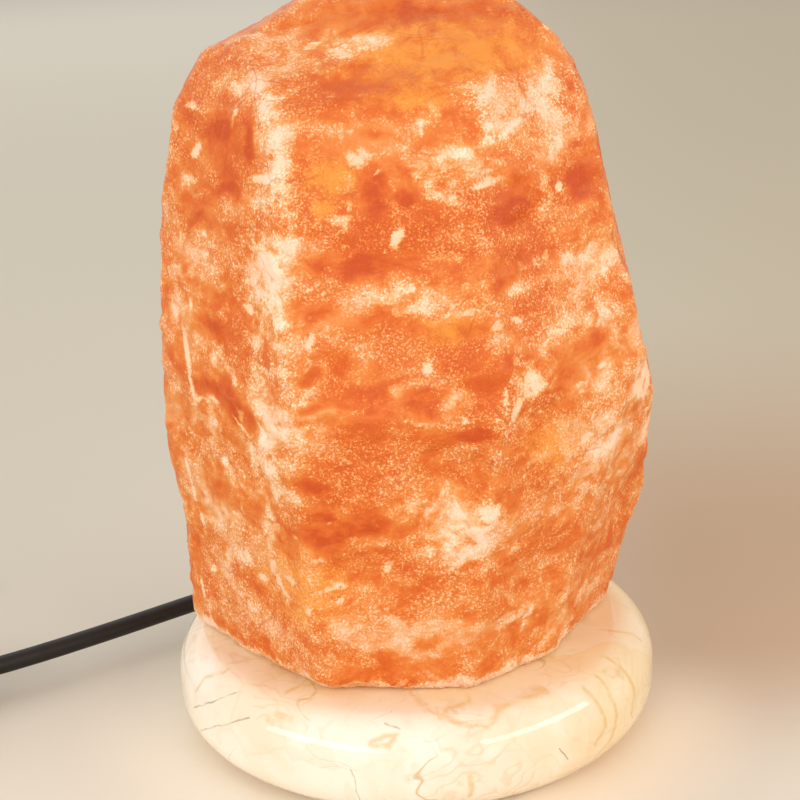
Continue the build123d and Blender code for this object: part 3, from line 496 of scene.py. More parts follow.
# ------------------------------------------------------------------ crystal
# Marks seen on the front, by kind: across and up from the floor, half width, half
# height, tilt in degrees, strength. Millimetres.
PATCHES = {
    "pale": [
        # the column at -27 to -36 across, along the left vertical edge, is pale salt and partly a
        # painted sheen
        (-30.3, 171.8, 1.9, 2.7, 0, 0.7), (-26.8, 166.1, 2, 3.2, 0, 0.8),
        (-27.1, 159.5, 2.5, 4.9, 0, 1), (-27.8, 149.7, 2.7, 3.2, 0, 0.6),
        (-32.6, 149.3, 2, 2.3, 0, 0.5), (-33.6, 141, 2.8, 2.1, 0, 0.8),
        (-27.7, 141.1, 2.1, 2.7, 0, 0.8), (-27.1, 175, 3.5, 0.6, 0, 0.7),
        (-35.3, 175.2, 3.6, 1, 10, 0.7), (-51.1, 151.2, 2, 1.5, 0, 0.6),
        (-12.6, 155.5, 1.8, 2.2, 0, 0.4), (-8, 183.8, 6.1, 2.3, 20, 0.35),
        (35.9, 171.4, 4.3, 5, 0, 0.6), (37.2, 159.5, 1.3, 2.7, 0, 0.5),
        (34.6, 151.8, 1.5, 2.7, 0, 0.9), (33.9, 145.8, 1.5, 2, 0, 0.9),
        (35.8, 155.9, 1, 2.7, 0, 0.6), (27.3, 166.3, 3.7, 0.8, 35, 0.7),
        (20.5, 163.1, 1.9, 1.8, 0, 0.9), (15.1, 161.3, 3.7, 1.3, -10, 0.6),
        (20.7, 167.7, 1.4, 0.7, 0, 0.6), (19.6, 174, 3.4, 1.2, 25, 0.5),
        (7.9, 170.8, 0.9, 3, 35, 0.6), (4.9, 165.3, 0.7, 3, 25, 0.6),
        (6.4, 156.2, 1.4, 2.7, 15, 0.95), (7.9, 152.1, 1.6, 1.4, 0, 0.8),
        (11.3, 149.7, 2.1, 0.9, -20, 0.8), (9, 159.2, 1.8, 0.9, 20, 0.7),
        (12.5, 153.7, 2.5, 2.2, 0, 0.35), (4.2, 157.6, 1.6, 1.3, 0, 0.6),
        (-30.6, 135.8, 3.3, 6.1, 0, 0.95), (-33.4, 130.3, 4.4, 4, 0, 0.7),
        (-30.3, 126.9, 3.1, 4.3, 0, 0.9), (-35.4, 118.2, 3.2, 2.4, 0, 0.35),
        (-35, 110.9, 2.1, 2.9, 0, 0.4), (-30.3, 112.8, 1.5, 1.9, 0, 0.4),
        (-30.3, 102.8, 2.8, 2.2, 0, 0.6), (-33.8, 96.3, 2.9, 6.7, 0, 1),
        (-28.7, 96.9, 4, 2.2, 10, 0.6), (-35.8, 86.1, 2.5, 4, 0, 0.9),
        (-23.2, 107.2, 2.1, 1.9, 0, 0.8), (-46.7, 111.2, 2, 3.5, 25, 0.9),
        (-43.1, 107.8, 0.8, 2.5, 35, 0.7), (-47.6, 97.7, 2.3, 0.9, 0, 0.6),
        (-47.7, 93.5, 1.5, 2.6, 0, 0.6), (48, 130.3, 4, 3, 0, 0.6),
        (38.9, 131.6, 1.8, 1.2, 0, 0.7), (10.4, 136.8, 2.8, 1, 0, 0.8),
        (29.4, 132.5, 3.3, 0.4, 0, 0.7), (27.3, 128.2, 2.7, 1.4, 0, 0.7),
        (-4.8, 129.7, 5.1, 2.1, 0, 0.7), (-0.3, 126.6, 3.2, 0.9, 5, 0.8),
        (5.5, 127.5, 2.1, 1.4, 0, 0.7), (36.4, 116.9, 4.7, 3, 0, 0.5),
        (47.9, 116.6, 3.2, 1.9, 0, 0.6), (63.4, 79.3, 1.9, 8, 0, 0.9),
        (50.3, 84.1, 6.4, 1.7, 0, 0.6), (29.9, 106.5, 4.5, 4.6, 0, 0.7),
        (28.3, 98.5, 1.5, 2.1, 0, 0.7), (12.7, 104.7, 2.8, 2.1, 0, 0.8),
        (-1.5, 106.9, 1.2, 2.3, 0, 0.7), (5.6, 100, 4.7, 0.7, 0, 0.6),
        (23.2, 96.2, 2, 1.1, 0, 0.6), (-32.5, 81.3, 2.7, 2.6, 0, 0.7),
        (-29.3, 79.6, 2.6, 1.4, 0, 0.6), (-35.3, 71.2, 1.1, 5.3, 0, 0.7),
        (-35.1, 63.3, 0.8, 4.2, 0, 0.5), (-33.5, 50.4, 1.4, 1.5, 0, 0.7),
        (-42.9, 54.6, 1.8, 1.9, 0, 0.8), (-41.1, 66.2, 1.4, 1.5, 0, 0.5),
        (-42.1, 42.6, 1.2, 1.3, 0, 0.6), (12.3, 71.4, 7.2, 7, 20, 0.75),
        (6.5, 67.5, 3.9, 2.2, 0, 0.5), (1.9, 78.5, 3.3, 1.6, 10, 0.4),
    ],
    "flake": [
        (-50, 169.8, 1.7, 1, 0, 1), (-49.2, 159.4, 0.8, 2.2, -35, 1),
        (-32.3, 156.3, 3, 0.9, 15, 1), (-37.9, 170.9, 0.5, 1.2, -10, 0.7),
        (-9.9, 161.2, 2.3, 1.9, 0, 0.8), (-11.3, 166.6, 0.9, 0.6, 0, 0.6),
        (-5.4, 157.7, 1.8, 0.3, 20, 0.7), (19.5, 154, 3.1, 0.8, 10, 0.8),
        (20.1, 156.5, 1.2, 0.7, 0, 0.7), (37.7, 149.8, 0.8, 0.9, 0, 0.7),
        (-37.4, 124.2, 1.3, 1.2, 0, 0.7), (-33.4, 87.5, 1.1, 1.7, 0, 0.8),
        (-22.2, 119.3, 0.9, 2.1, -15, 0.9), (-22.9, 114.9, 0.8, 0.9, 0, 0.7),
        (-18.7, 130.9, 0.9, 0.7, 0, 0.6), (-21.9, 131.7, 0.7, 0.7, 0, 0.6),
        (-55, 109.1, 0.6, 5.7, 8, 0.9), (-57.6, 117.6, 0.7, 2.1, 10, 0.6),
        (-54.2, 100.6, 0.6, 4.4, 8, 0.7), (-52.7, 97.6, 1.2, 1.7, 0, 0.7),
        (-41.3, 94.9, 0.4, 3.4, 40, 0.6), (49.2, 126.7, 0.8, 0.6, 0, 0.9),
        (1.2, 130.7, 1.4, 1.1, 0, 0.7), (9.4, 124.9, 1.4, 0.5, 20, 0.7),
        (14, 125.2, 1.9, 0.6, 10, 0.7), (25.9, 122.2, 1.7, 0.6, -30, 0.7),
        (60.7, 96.3, 3.3, 4.4, 0, 1), (29.9, 106.2, 3.5, 3.2, 0, 0.7),
        (22.8, 105.5, 0.6, 1.9, 0, 0.8), (25.2, 100.9, 0.9, 2.9, -20, 0.8),
        (4.6, 112.7, 1.2, 1.6, 0, 0.9), (-0.7, 100.5, 0.9, 0.7, 0, 0.7),
        (13.1, 100, 1.2, 0.7, -25, 0.7), (-1.4, 142.9, 1.1, 2.3, -25, 0.9),
        (41.5, 102.6, 1.3, 0.7, 15, 0.7), (47.8, 105.2, 1.4, 0.7, 10, 0.6),
        (43.1, 87.5, 2.2, 0.8, 30, 0.8), (45.1, 92.9, 0.3, 2.2, -20, 0.6),
        (-33.2, 86.8, 1.6, 2, 0, 0.6), (-35.2, 57.4, 0.7, 2.4, -10, 0.9),
        (-34.1, 54.2, 0.7, 1.8, 0, 0.8), (-31, 56.3, 1.4, 1.1, 0, 0.8),
        (-22, 55.5, 2.4, 0.8, 25, 0.9), (-18.5, 56.5, 1.7, 1, 0, 0.8),
        (-18.4, 52.6, 1, 1.1, 0, 0.8), (-26.5, 49.6, 0.9, 1.1, 0, 0.8),
        (-38.3, 52.1, 1.3, 1.4, 0, 0.7), (-57.6, 74.7, 0.6, 2.8, 5, 0.8),
        (-56.7, 68.6, 0.5, 4.4, 8, 0.7), (-55, 61, 0.5, 4.5, 10, 0.6),
        (-56.9, 38.2, 0.5, 3.4, 5, 0.6), (-55.2, 29.6, 0.5, 3.4, 5, 0.7),
        (-11.3, 40.2, 0.7, 0.6, 0, 0.9), (-6.9, 44, 0.7, 0.6, 0, 0.8),
        (-18.3, 43.8, 0.5, 0.7, 0, 0.7), (-10.5, 35.8, 0.6, 0.7, 0, 0.7),
        (-19.8, 74, 0.7, 0.6, 0, 0.6), (-7.9, 65, 0.5, 1.1, 0, 0.6),
        (-23.2, 64.1, 1.9, 0.8, 15, 0.6), (18.6, 76.1, 2.4, 2.7, 0, 0.6),
    ],
    "gold": [
        (-15.5, 156.7, 4.6, 4, 0, 0.7), (-17.7, 149.6, 2.8, 1.6, 0, 1),
        (2, 186.5, 4.7, 1.6, 0, 0.6), (12.5, 182, 18.7, 5, 0, 0.8), (5, 174, 6.9, 2.7, 0, 0.5),
        (-28.2, 55, 10.8, 9, 0, 0.5), (10.2, 121.4, 7, 4.6, 0, 0.3), (36.6, 89.4, 8, 5.5, 0, 0.5),
    ],
    "deep": [
        (-42.1, 165.1, 2.7, 6.1, 0, 0.8), (-34.8, 164.6, 1.3, 4.6, 0, 0.7),
        (-48.3, 143.2, 3.6, 2.7, 0, 0.9), (-41.5, 151.9, 3.2, 1.4, 0, 0.8),
        (-5.4, 153.4, 2.5, 4, 0, 0.9), (-5.8, 166.4, 3.4, 1.7, 0, 0.6),
        # the broad marks near the top, 178 to 189 up, darken the top face as painted shade
        (-29.6, 178.8, 1.9, 1.5, 0, 0.6), (12.6, 183.1, 10.3, 2.7, 0, 0.9),
        (8.3, 188.7, 23.8, 2.8, 0, 0.7), (13.4, 178.3, 11.1, 1.3, 0, 0.8),
        (42.9, 149.7, 2.6, 2.8, 0, 0.9), (25.9, 146.6, 4.2, 1.8, 0, 0.9),
        (1.7, 151.4, 2.3, 2.7, 0, 0.9), (41.9, 158.9, 2.1, 1.8, 0, 0.8),
        (44.9, 163.7, 1.1, 3.7, -20, 0.8), (42, 171.7, 0.8, 1.7, 0, 0.9),
        (-47.7, 117.3, 3.4, 2.3, 0, 0.9), (-48.7, 102.3, 3.7, 2.3, 0, 0.9),
        (-42.1, 98.7, 2.5, 6.2, 28, 1), (-19.3, 138, 3.2, 1.8, 0, 0.8),
        (-8.8, 136.3, 7.8, 2.1, 0, 1), (-20.8, 125.7, 2.8, 2.1, 0, 0.7),
        (-23.6, 103.6, 3.5, 1.2, 0, 0.8), (-23, 111.4, 3, 1.9, 0, 0.6),
        (-55.3, 130.1, 1.2, 2, 0, 0.6), (14.9, 121.7, 8.4, 2.1, 0, 1),
        (22.2, 131.1, 3.4, 1.6, 15, 0.8), (5, 105, 4.2, 2.6, 0, 0.9),
        (38.9, 104.7, 3.9, 2.6, 20, 0.9), (46.4, 112.8, 3.8, 1.9, 25, 0.7),
        (15.1, 96.6, 5.2, 1.5, 0, 0.8), (-20.2, 76.2, 1.9, 1.3, 0, 1),
        (-21.3, 70, 6.3, 2.4, 0, 0.9), (-9.8, 72.7, 5.8, 3.5, 0, 0.6),
        (-23.9, 83.5, 4.3, 1.6, 0, 0.7), (-48.4, 73.5, 4.2, 3.3, 0, 0.4),
        (-39.5, 47.2, 2.3, 1.9, 0, 0.6), (-51.1, 29, 2.8, 1.4, -20, 0.8),
        (-25, 39.4, 3.6, 1.4, -20, 0.7),
    ],
    "haze": [
        (49.1, 87.9, 11.1, 31.3, 0, 1), (-48, 64.6, 12.6, 34.1, 0, 0.9),
        (-51.8, 122.7, 8.6, 17.7, 0, 0.5), (31.8, 41.5, 17.8, 11, 0, 0.8),
        (23.3, 166.4, 17, 7.9, 0, 0.8), (-10.8, 182.9, 14.1, 4.2, 0, 0.5),
        (45.7, 125, 7.5, 11.7, 0, 0.8), (-31.9, 178.7, 9.3, 5.3, 0, 0.7),
        # the tall narrow marks at -28 to -34 across, along the same left edge, are clouded salt and
        # partly a painted sheen
        (12.6, 71.4, 13.2, 9.7, 0, 0.7), (-28.2, 163.6, 3.6, 13, 0, 1),
        (-31.9, 131, 5.6, 16.6, 0, 1), (-34, 94, 4.8, 16.7, 0, 0.9),
        (-25.3, 106.3, 7, 11.7, 0, 0.4), (-3.9, 45.6, 29.6, 11.3, 0, 0.4),
        (8.1, 128.4, 13.9, 3.7, 0, 0.4),
    ],
    "grit": [
        (17.7, 141.8, 17.3, 3.6, 0, 1), (-16.7, 144.1, 6.9, 4.1, 0, 1),
        (-9.2, 131.3, 11.6, 2.3, 0, 1), (17.3, 126.9, 13.9, 2.1, 0, 1),
        (-1.6, 117.1, 14, 3.3, 0, 0.7), (-10.8, 89.4, 19, 5.2, 0, 0.9),
        (-33.7, 51.8, 16.8, 11.7, 0, 0.9), (8.6, 55.1, 24.4, 6.1, 0, 0.7),
        (42.4, 124.6, 13.2, 7.9, 0, 0.8), (30.8, 166.2, 12.5, 7.6, 0, 0.6),
        (-22.6, 181.3, 11.7, 3.4, 0, 0.6), (-48.2, 135.9, 6.2, 4.9, 0, 0.6),
        (39.3, 88.5, 16.1, 5, 0, 0.7), (-22.6, 167.7, 5, 5.5, 0, 0.5),
        (-17.7, 41.8, 14.9, 5.7, 0, 0.8),
    ],
}
# How far noise shifts a kind's edges, in millimetres, and how strong it is at the back.
FRAYED = {"flake": 0.4}
USUAL_FRAY = 2.0
REAR = {"gold": 0.35, "haze": 0.9, "grit": 0.9}
USUAL_REAR = 0.6
# The solid's sawn foot, and its bore's radius and top.
SAWN, BORE, BORE_TOP = 26.0, 28.0, 126.0
VOXEL, QUICK_VOXEL = 1.15 * MM, 2.2 * MM


def hewn(co, normals, convex, chips, free):
    """The points moved along their normals: swells, flat strata, chips, pits, a worn shoulder."""
    edge = step(0.25, 1.0, convex)
    swell = noise_at(co + 40, 26, 3)
    strata = noise_at(co * (1, 1, 3.2) + 90, 30, 3)
    pits = noise_at(co + 260, 3.4, 2)
    move = 0.55 * swell + 0.5 * step(-0.1, 0.25, strata) - 0.25
    move -= 0.6 * step(0.12, 0.45, chips) * (0.4 + 0.7 * edge)
    move -= 0.3 * step(0.2, 0.5, pits)
    move += 0.12 * noise_at(co + 350, 1.9, 2)
    worn = np.exp(-(np.linalg.norm(co - (-30, -12, 189), axis=1) / 13) ** 2)
    return co + normals * ((move - 2.0 * worn) * free)[:, None]


def wear_rim(co, outward, level, inside):
    """Wears the lower rim round, most at the front left corner."""
    turned = np.degrees(np.arctan2(co[:, 1], co[:, 0]))
    radius = 1.8 + 3.6 * np.exp(-((turned + 118) / 26) ** 2)
    sunk = np.clip(radius - (co[:, 2] - SAWN), 0, None)
    pull = radius - np.sqrt(np.maximum(radius ** 2 - sunk ** 2, 0))
    pull *= step(33, 46, level) * np.where(inside, 0, 1)
    co[:, :2] -= outward * pull[:, None]


def marked(co, kind, marks, wander):
    """How strongly one kind's marks cover each point, from 0 to 1."""
    shift = wander * FRAYED.get(kind, USUAL_FRAY)
    amount = np.zeros(len(co))
    for across, up, half_width, half_height, tilt, strength in marks:
        dx, dz = co[:, 0] + shift[:, 0] - across, co[:, 2] + shift[:, 1] - up
        c, s = cos(radians(tilt)), sin(radians(tilt))
        reach = np.hypot((c * dx + s * dz) / half_width, (c * dz - s * dx) / half_height)
        amount = np.maximum(amount, (0.6 + 0.4 * strength) * np.clip(1 - reach / 2, 0, 1))
    return amount


def crystal_surface(obj, cad_low, cad_high):
    """Gives the finely meshed block its hewn, worn surface, and the values its material reads.

    It stays in the CAD's box, given in millimetres.
    """
    mesh = obj.data
    co = coordinates(mesh) / MM
    normals = np.empty(len(mesh.vertices) * 3)
    mesh.vertices.foreach_get("normal", normals)
    normals = normals.reshape(-1, 3)
    level = np.hypot(co[:, 0], co[:, 1])
    inside = (level < BORE + 1.2) & (co[:, 2] < BORE_TOP + 1.0)
    convex = ((co - smoothed(mesh, co, 60)) * normals).sum(1)
    # near the foot the surface moves level, and the sawn face only at its rim
    low_down = step(SAWN + 6, SAWN + 1, co[:, 2])
    normals[:, 2] *= 1 - low_down
    outward = co[:, :2] / np.maximum(level, 1)[:, None]
    sawn = step(SAWN + 1.2, SAWN + 0.4, co[:, 2])
    normals[:, :2] += (outward - normals[:, :2]) * sawn[:, None]
    free = np.where(inside, 0.0, 1.0) * (1 - sawn * (1 - step(34, 44, level)))
    chips = noise_at(co + 170, 7, 3)
    co = hewn(co, normals, convex, chips, free)
    wear_rim(co, outward, level, inside)
    co[:, 2] = np.clip(co[:, 2], SAWN, cad_high[2])
    co[:, :2] = np.clip(co[:, :2], cad_low[:2], cad_high[:2])
    mesh.vertices.foreach_set("co", (co * MM).ravel())

    # paler on the convex edges, partly worn salt and partly a painted sheen; and on the worn lower
    # rim
    ridge_wear_and_sheen = step(0.3, 1.5, convex) * 0.7 * free
    values = {"ridge_wear_and_sheen": np.maximum(ridge_wear_and_sheen, 0.7 * step(31 + 3 * chips, 26.5, co[:, 2]))}
    wander = np.stack([noise_at(co + 500, 8, 3), noise_at(co + 640, 8, 3)], 1)
    front = step(14, -8, co[:, 1])
    for number, (kind, marks) in enumerate(PATCHES.items()):
        values[kind] = marked(co, kind, marks, wander) * front
        # the back has marks of its own
        if kind != "flake":
            rear = step(0.05, 0.5, noise_at(co + 150 * number + 700, 20, 3))
            values[kind] += REAR.get(kind, USUAL_REAR) * rear * (1 - front)
    # pale and rough along the worn rim
    rim = 0.9 * step(30.5 + 4 * chips, 27.5, co[:, 2]) * np.where(inside, 0, 1)
    values["pale"] = np.maximum(values["pale"], rim)
    for name, value in values.items():
        layer = mesh.attributes.new(name, "FLOAT", "POINT")
        layer.data.foreach_set("value", value.astype(np.float32))


crystal = merged_copy("salt_crystal", "rock_salt_block")
apply(crystal, "REMESH", mode="VOXEL", voxel_size=VOXEL,
      use_smooth_shade=True)
crystal_surface(crystal, *(np.array(corner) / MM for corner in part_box("salt_crystal")))
crystal.data.polygons.foreach_set("use_smooth", [True] * len(crystal.data.polygons))
crystal.data.materials.append(MATERIALS["rock_salt"])
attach(crystal, "crystal")
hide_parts("salt_crystal")

# ------------------------------------------------------------------ marble foot
# The solid's rim and edge radius, underside and top; the nipple's hole and wiring pocket;
# the felt's seat; the flex's way out and the clamp's two screws. Millimetres and degrees.
RIM, EDGE, FOOT, TOP = 65.0, 10.5, 0.5, 26.0
NIPPLE_HOLE, POCKET, POCKET_TOP = 5.25, 30, 18
FELT_SEAT, FELT_TOP = 50.25, 1.5
EXIT_TURN, EXIT_HEIGHT, EXIT_HOLE = 50, 11, 4.25
SCREW_OUT, SCREW_ASIDE, SCREW_HOLE = 23, 7, 1.3


def lathe(name, outline, segments):
    """A closed outline of (radius, height) points in millimetres, turned about the lamp's axis."""
    edit = bmesh.new()
    rings = []
    for i in range(segments):
        turn = 2 * pi * i / segments
        rings.append([edit.verts.new((r * cos(turn) * MM, r * sin(turn) * MM, z * MM))
                      for r, z in outline])
    for i in range(segments):
        here, following = rings[i], rings[(i + 1) % segments]
        for j in range(len(outline)):
            k = (j + 1) % len(outline)
            edit.faces.new((here[j], following[j], following[k], here[k]))
    bmesh.ops.recalc_face_normals(edit, faces=edit.faces)
    mesh = bpy.data.meshes.new(name)
    edit.to_mesh(mesh)
    edit.free()
    obj = bpy.data.objects.new(name, mesh)
    bpy.context.collection.objects.link(obj)
    return obj


def cutter(radius, start, end):
    """A cylinder between two points, in millimetres, to cut a hole with."""
    start, end = Vector(start) * MM, Vector(end) * MM
    bpy.ops.mesh.primitive_cylinder_add(vertices=64, radius=radius * MM, depth=(end - start).length)
    obj = bpy.context.object
    turn = (end - start).to_track_quat("Z", "Y").to_matrix().to_4x4()
    obj.data.transform(Matrix.Translation((start + end) / 2) @ turn)
    return obj


def along_exit(distance, aside, height):
    """A point by the flex's hole, in millimetres, as the CAD measures it."""
    c, s = cos(radians(EXIT_TURN)), sin(radians(EXIT_TURN))
    return (distance * c - aside * s, distance * s + aside * c, height)


quarter = [(EDGE * sin(radians(a)), EDGE * cos(radians(a))) for a in range(0, 91, 5)]
outline = [(r, TOP) for r in (NIPPLE_HOLE, 14, 30, 44, 52, 54.3)]
outline += [(RIM - EDGE + out, TOP - EDGE + up) for out, up in quarter]
outline += [(RIM, 13.2)]
outline += [(RIM - EDGE + out, FOOT + EDGE - down) for down, out in quarter]
outline += [
    (52, FOOT), (FELT_SEAT, FOOT), (FELT_SEAT, FELT_TOP), (POCKET, FELT_TOP), (POCKET, 10),
    (POCKET, POCKET_TOP), (18, POCKET_TOP), (NIPPLE_HOLE, POCKET_TOP), (NIPPLE_HOLE, 22),
]
marble_foot = lathe("marble_foot", outline, 240)
CUTS = [(EXIT_HOLE, along_exit(25.8, 0, EXIT_HEIGHT), along_exit(75, 0, EXIT_HEIGHT))]
CUTS += [(SCREW_HOLE, along_exit(SCREW_OUT, aside, 17), along_exit(SCREW_OUT, aside, 20))
         for aside in (SCREW_ASIDE, -SCREW_ASIDE)]
for radius, start, end in CUTS:
    tool = cutter(radius, start, end)
    apply(marble_foot, "BOOLEAN", operation="DIFFERENCE", object=tool, solver="EXACT")
    bpy.data.objects.remove(tool)
only(marble_foot)
bpy.ops.object.shade_smooth_by_angle(angle=radians(32))
marble_foot.data.materials.append(MATERIALS["cream_marble"])
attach(marble_foot, "root")
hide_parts("marble_base")


# ------------------------------------------------------------------ flex
def rounded(route):
    """Points along straight runs joined by arcs, the same arcs as the CAD's."""
    route = [Vector(p) for p in route]
    points = [route[0]]
    shares = [0.9] + [0.45] * (len(route) - 3) + [0.9]
    for before, corner, after, near, far in zip(route, route[1:], route[2:], shares, shares[1:]):
        back, on = before - corner, after - corner
        turn = pi - back.angle(on)
        reach = min(near * back.length, far * on.length)
        start, end = corner + back.normalized() * reach, corner + on.normalized() * reach
        middle = corner + (back.normalized() + on.normalized()).normalized() * (
            reach / tan(turn / 2) / cos(turn / 2))
        count = max(3, int(turn / radians(5)) + 1)
        for i in range(count + 1):
            share = i / count
            arm = (start - middle) * sin((1 - share) * turn) / sin(turn)
            arm += (end - middle) * sin(share * turn) / sin(turn)
            points.append(middle + arm)
    return points + [route[-1]]


def flex(name, points):
    """A round flex along the points, in millimetres, as a bevelled curve on the root."""
    curve = bpy.data.curves.new(name, "CURVE")
    curve.dimensions = "3D"
    curve.bevel_depth = FLEX / 2 * MM
    curve.bevel_resolution = 6
    curve.use_fill_caps = True
    spline = curve.splines.new("POLY")
    spline.points.add(len(points) - 1)
    for point, at in zip(spline.points, points):
        point.co = (at[0] * MM, at[1] * MM, at[2] * MM, 1)
    spline.use_smooth = True
    obj = bpy.data.objects.new(name, curve)
    bpy.context.collection.objects.link(obj)
    curve.materials.append(MATERIALS["black_pvc"])
    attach(obj, "root")
    return obj


# The flex's diameter and its route on the floor, the same values as the CAD's.
FLEX = 5.2
LEAD = [
    (43.71, 52.091, 11), (48.209, 57.453, 11), (49.819, 70.958, 11), (43.772, 83.139, 11),
    (32.042, 90.021, 11), (-5, 85.5, 11), (-55, 53, 10.4), (-90, 28, 9.8),
    (-111.679, 14.6, 9), (-129, 4.6, 9),
]
SWITCH_LENGTH, SWITCH_HEADING = 54, radians(210)
COIL_RADIUS, COIL_STEP, HALF_TURNS = 36.0, 6.0, 7
COIL_APPROACH, COIL_DROP, SOFT_END = 30, 5.4, 5.2
PLUG_REACH, PLUG_HEIGHT, PLUG_RUN_IN = 46, 6.9, 27
ALONG = Vector((cos(SWITCH_HEADING), sin(SWITCH_HEADING), 0))
TO_MIDDLE = Vector((sin(SWITCH_HEADING), -cos(SWITCH_HEADING), 0))
SWITCH_EXIT = Vector(LEAD[-1]) + ALONG * SWITCH_LENGTH
COIL_START = SWITCH_EXIT + ALONG * COIL_APPROACH - Vector((0, 0, COIL_DROP))
COIL_MIDDLE = COIL_START + TO_MIDDLE * COIL_RADIUS


def coil_points():
    """The put-away flex: seven half turns inward, one up, seven outward on top.

    Gives its points and the direction in which it leaves.
    """
    points, outward, going = [], -COIL_RADIUS, ALONG.copy()
    inward = [COIL_RADIUS - COIL_STEP / 2 * turn for turn in range(HALF_TURNS)]
    plan = [(r, 0.0, 0.0) for r in inward] + [(15.0, 0.0, COIL_STEP)]
    plan += [(r, COIL_STEP, COIL_STEP) for r in reversed(inward)]
    count = 30
    for turn, (radius, low, high) in enumerate(plan):
        side = -1 if turn % 2 else 1
        middle = outward + side * radius
        for i in range(0 if turn == 0 else 1, count + 1):
            angle = pi * i / count
            aside = middle - side * radius * cos(angle)
            height = Vector((0, 0, low + (high - low) * i / count))
            at = COIL_MIDDLE + TO_MIDDLE * aside + height
            points.append(at + going * radius * sin(angle))
        outward = middle + side * radius
        going = -going
    return points, going


coil, leave = coil_points()
coil_end = coil[-1] + leave * SOFT_END
plug_face = coil_end + leave * PLUG_REACH
plug_back = Vector((plug_face.x, plug_face.y, PLUG_HEIGHT))
to_coil = rounded([SWITCH_EXIT, SWITCH_EXIT + ALONG * 6,
                   COIL_START - ALONG * (6 + SOFT_END), COIL_START - ALONG * SOFT_END])
to_plug = rounded([coil_end, coil_end + leave * 8, plug_back - leave * PLUG_RUN_IN, plug_back])
lead_flex = flex("flex_to_switch", rounded(LEAD))
plug_flex = flex("flex_coiled_to_plug", to_coil + coil + to_plug)
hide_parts("cord_lead")
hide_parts("switch_lead", "cord_coil", "plug_lead")

# ------------------------------------------------------------------ the CAD's own pieces
slots = {part["node"]: part["material_slot"] for part in frame["record"]["subparts"]}
for name, obj in nodes.items():
    if obj.hide_render:
        continue
    material = MATERIALS["plug_pvc"] if name in PLUG_NODES else MATERIALS[slots[name]]
    obj.data.materials.clear()
    obj.data.materials.append(material)
    obj.data.polygons.foreach_set("use_smooth", [True] * len(obj.data.polygons))
    weld = obj.modifiers.new("weld", "WELD")
    weld.merge_threshold = SAME_PLACE
    split = obj.modifiers.new("sharp", "EDGE_SPLIT")
    split.split_angle = radians(30)

# ------------------------------------------------------------------ camera
# fitted to the photo: where it stands, in millimetres, and how it looks down and leans
EYE = Vector((-1.98, -435.97, 239.75))
PITCH, ROLL = radians(19.15), radians(-2.0)
forward = Vector((0, cos(PITCH), -sin(PITCH)))
upward = Vector((0, sin(PITCH), cos(PITCH)))
right = Vector((1, 0, 0))
across = cos(ROLL) * right + sin(ROLL) * upward
over = -sin(ROLL) * right + cos(ROLL) * upward
camera = bpy.data.objects.new("camera", bpy.data.cameras.new("camera"))
camera.data.lens = 78.75
camera.data.sensor_width = 36
turned = Matrix((across, over, -forward)).transposed().to_4x4()
camera.matrix_world = Matrix.Translation(EYE * MM) @ turned
bpy.context.collection.objects.link(camera)
bpy.context.scene.camera = camera


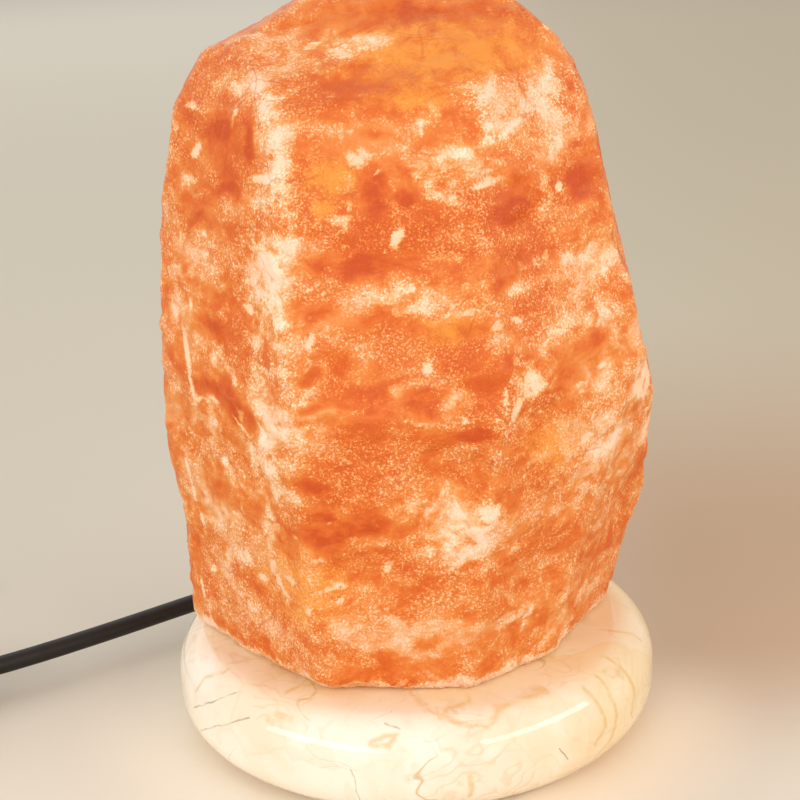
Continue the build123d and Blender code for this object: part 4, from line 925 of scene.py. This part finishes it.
# ------------------------------------------------------------------ floor and light
def studio_floor(tree):
    """Matt pale paper, with painted shade: a little darker and greyer away from the lamp."""
    where = add(tree, "SeparateXYZ", {}, {"Vector": add(tree, "TexCoord").outputs["Object"]})
    x, y = where.outputs["X"], where.outputs["Y"]
    colour = blended(tree, span(tree, y, -0.1, 0.35), "#DDD4C5", "#D1C8B6")
    colour = blended(tree, span(tree, y, 0.5, 2.0), colour, "#E2DACC")
    # painted shade, darker and browner farther back at the right
    far = maths(tree, "MULTIPLY", span(tree, x, -0.15, 0.25, 0, 0.75), span(tree, y, 0.12, 0.4))
    colour = blended(tree, far, colour, "#C6B69C")
    # painted shadow of the lamp, browner with its orange light, at the right behind the lamp
    near = maths(tree, "MULTIPLY", span(tree, x, -0.02, 0.1, 0, 0.9), span(tree, y, -0.06, 0.03))
    near = maths(tree, "MULTIPLY", near, span(tree, y, 0.1, 0.4, 1, 0))
    colour = blended(tree, near, colour, "#BD9D7F")
    # lit up by the pale stone in front of the foot, warmer at its right
    out = add(tree, "VectorMath", {"operation": "LENGTH"}, {0: place(tree)}).outputs["Value"]
    glow = span(tree, out, 0.1, 0.064, 0, 0.9)
    glow = maths(tree, "MULTIPLY", glow, span(tree, y, 0.03, -0.03))
    lit = blended(tree, span(tree, x, 0, 0.05), "#F6EAD8", "#F6E3CB")
    colour = blended(tree, glow, colour, lit)
    dust = cloud(tree, place(tree), 1.2, 3, 0.7)
    colour = blended(tree, span(tree, dust, 0.66, 0.78, 0, 0.08), colour, "#B59A80")
    return {"Roughness": 0.6, "Specular IOR Level": 0.2}, {"Base Color": colour}


bpy.ops.mesh.primitive_plane_add(size=24)
floor = bpy.context.object
floor.name = "studio_floor"
floor.data.materials.append(finish("pale_paper_matt", studio_floor))


def softbox(name, azimuth, elevation, width, height, distance, power, colour):
    """A soft light that faces the lamp from this direction, in degrees, metres and watts."""
    data = bpy.data.lights.new(name, "AREA")
    data.shape = "RECTANGLE"
    data.size, data.size_y = width, height
    data.energy = power
    data.color = linear(colour)[:3]
    obj = bpy.data.objects.new(name, data)
    turn, rise = radians(azimuth), radians(elevation)
    out = Vector((cos(turn) * cos(rise), sin(turn) * cos(rise), sin(rise)))
    obj.location = LAMP_MIDDLE + out * distance
    obj.rotation_euler = (-out).to_track_quat("-Z", "Y").to_euler()
    bpy.context.collection.objects.link(obj)


LAMP_MIDDLE = Vector((0, 0, 0.06))
# two long, low boxes, whose streaks the marble's edge shows, and a broad one behind
softbox("softbox_left", -135, 22, 1.0, 0.22, 1.0, 4.9, "#FFFDFA")
softbox("softbox_right", -31, 29, 1.0, 0.18, 1.0, 5.1, "#FFFBF5")
softbox("softbox_behind", 112, 42, 2.0, 2.0, 1.7, 7.8, "#FFFFFF")
world = bpy.data.worlds.new("studio")
bpy.context.scene.world = world
world.use_nodes = True
background = world.node_tree.nodes["Background"]
background.inputs["Color"].default_value = linear("#FFFDF9")
background.inputs["Strength"].default_value = 0.6
bpy.context.scene.view_settings.view_transform = "Standard"
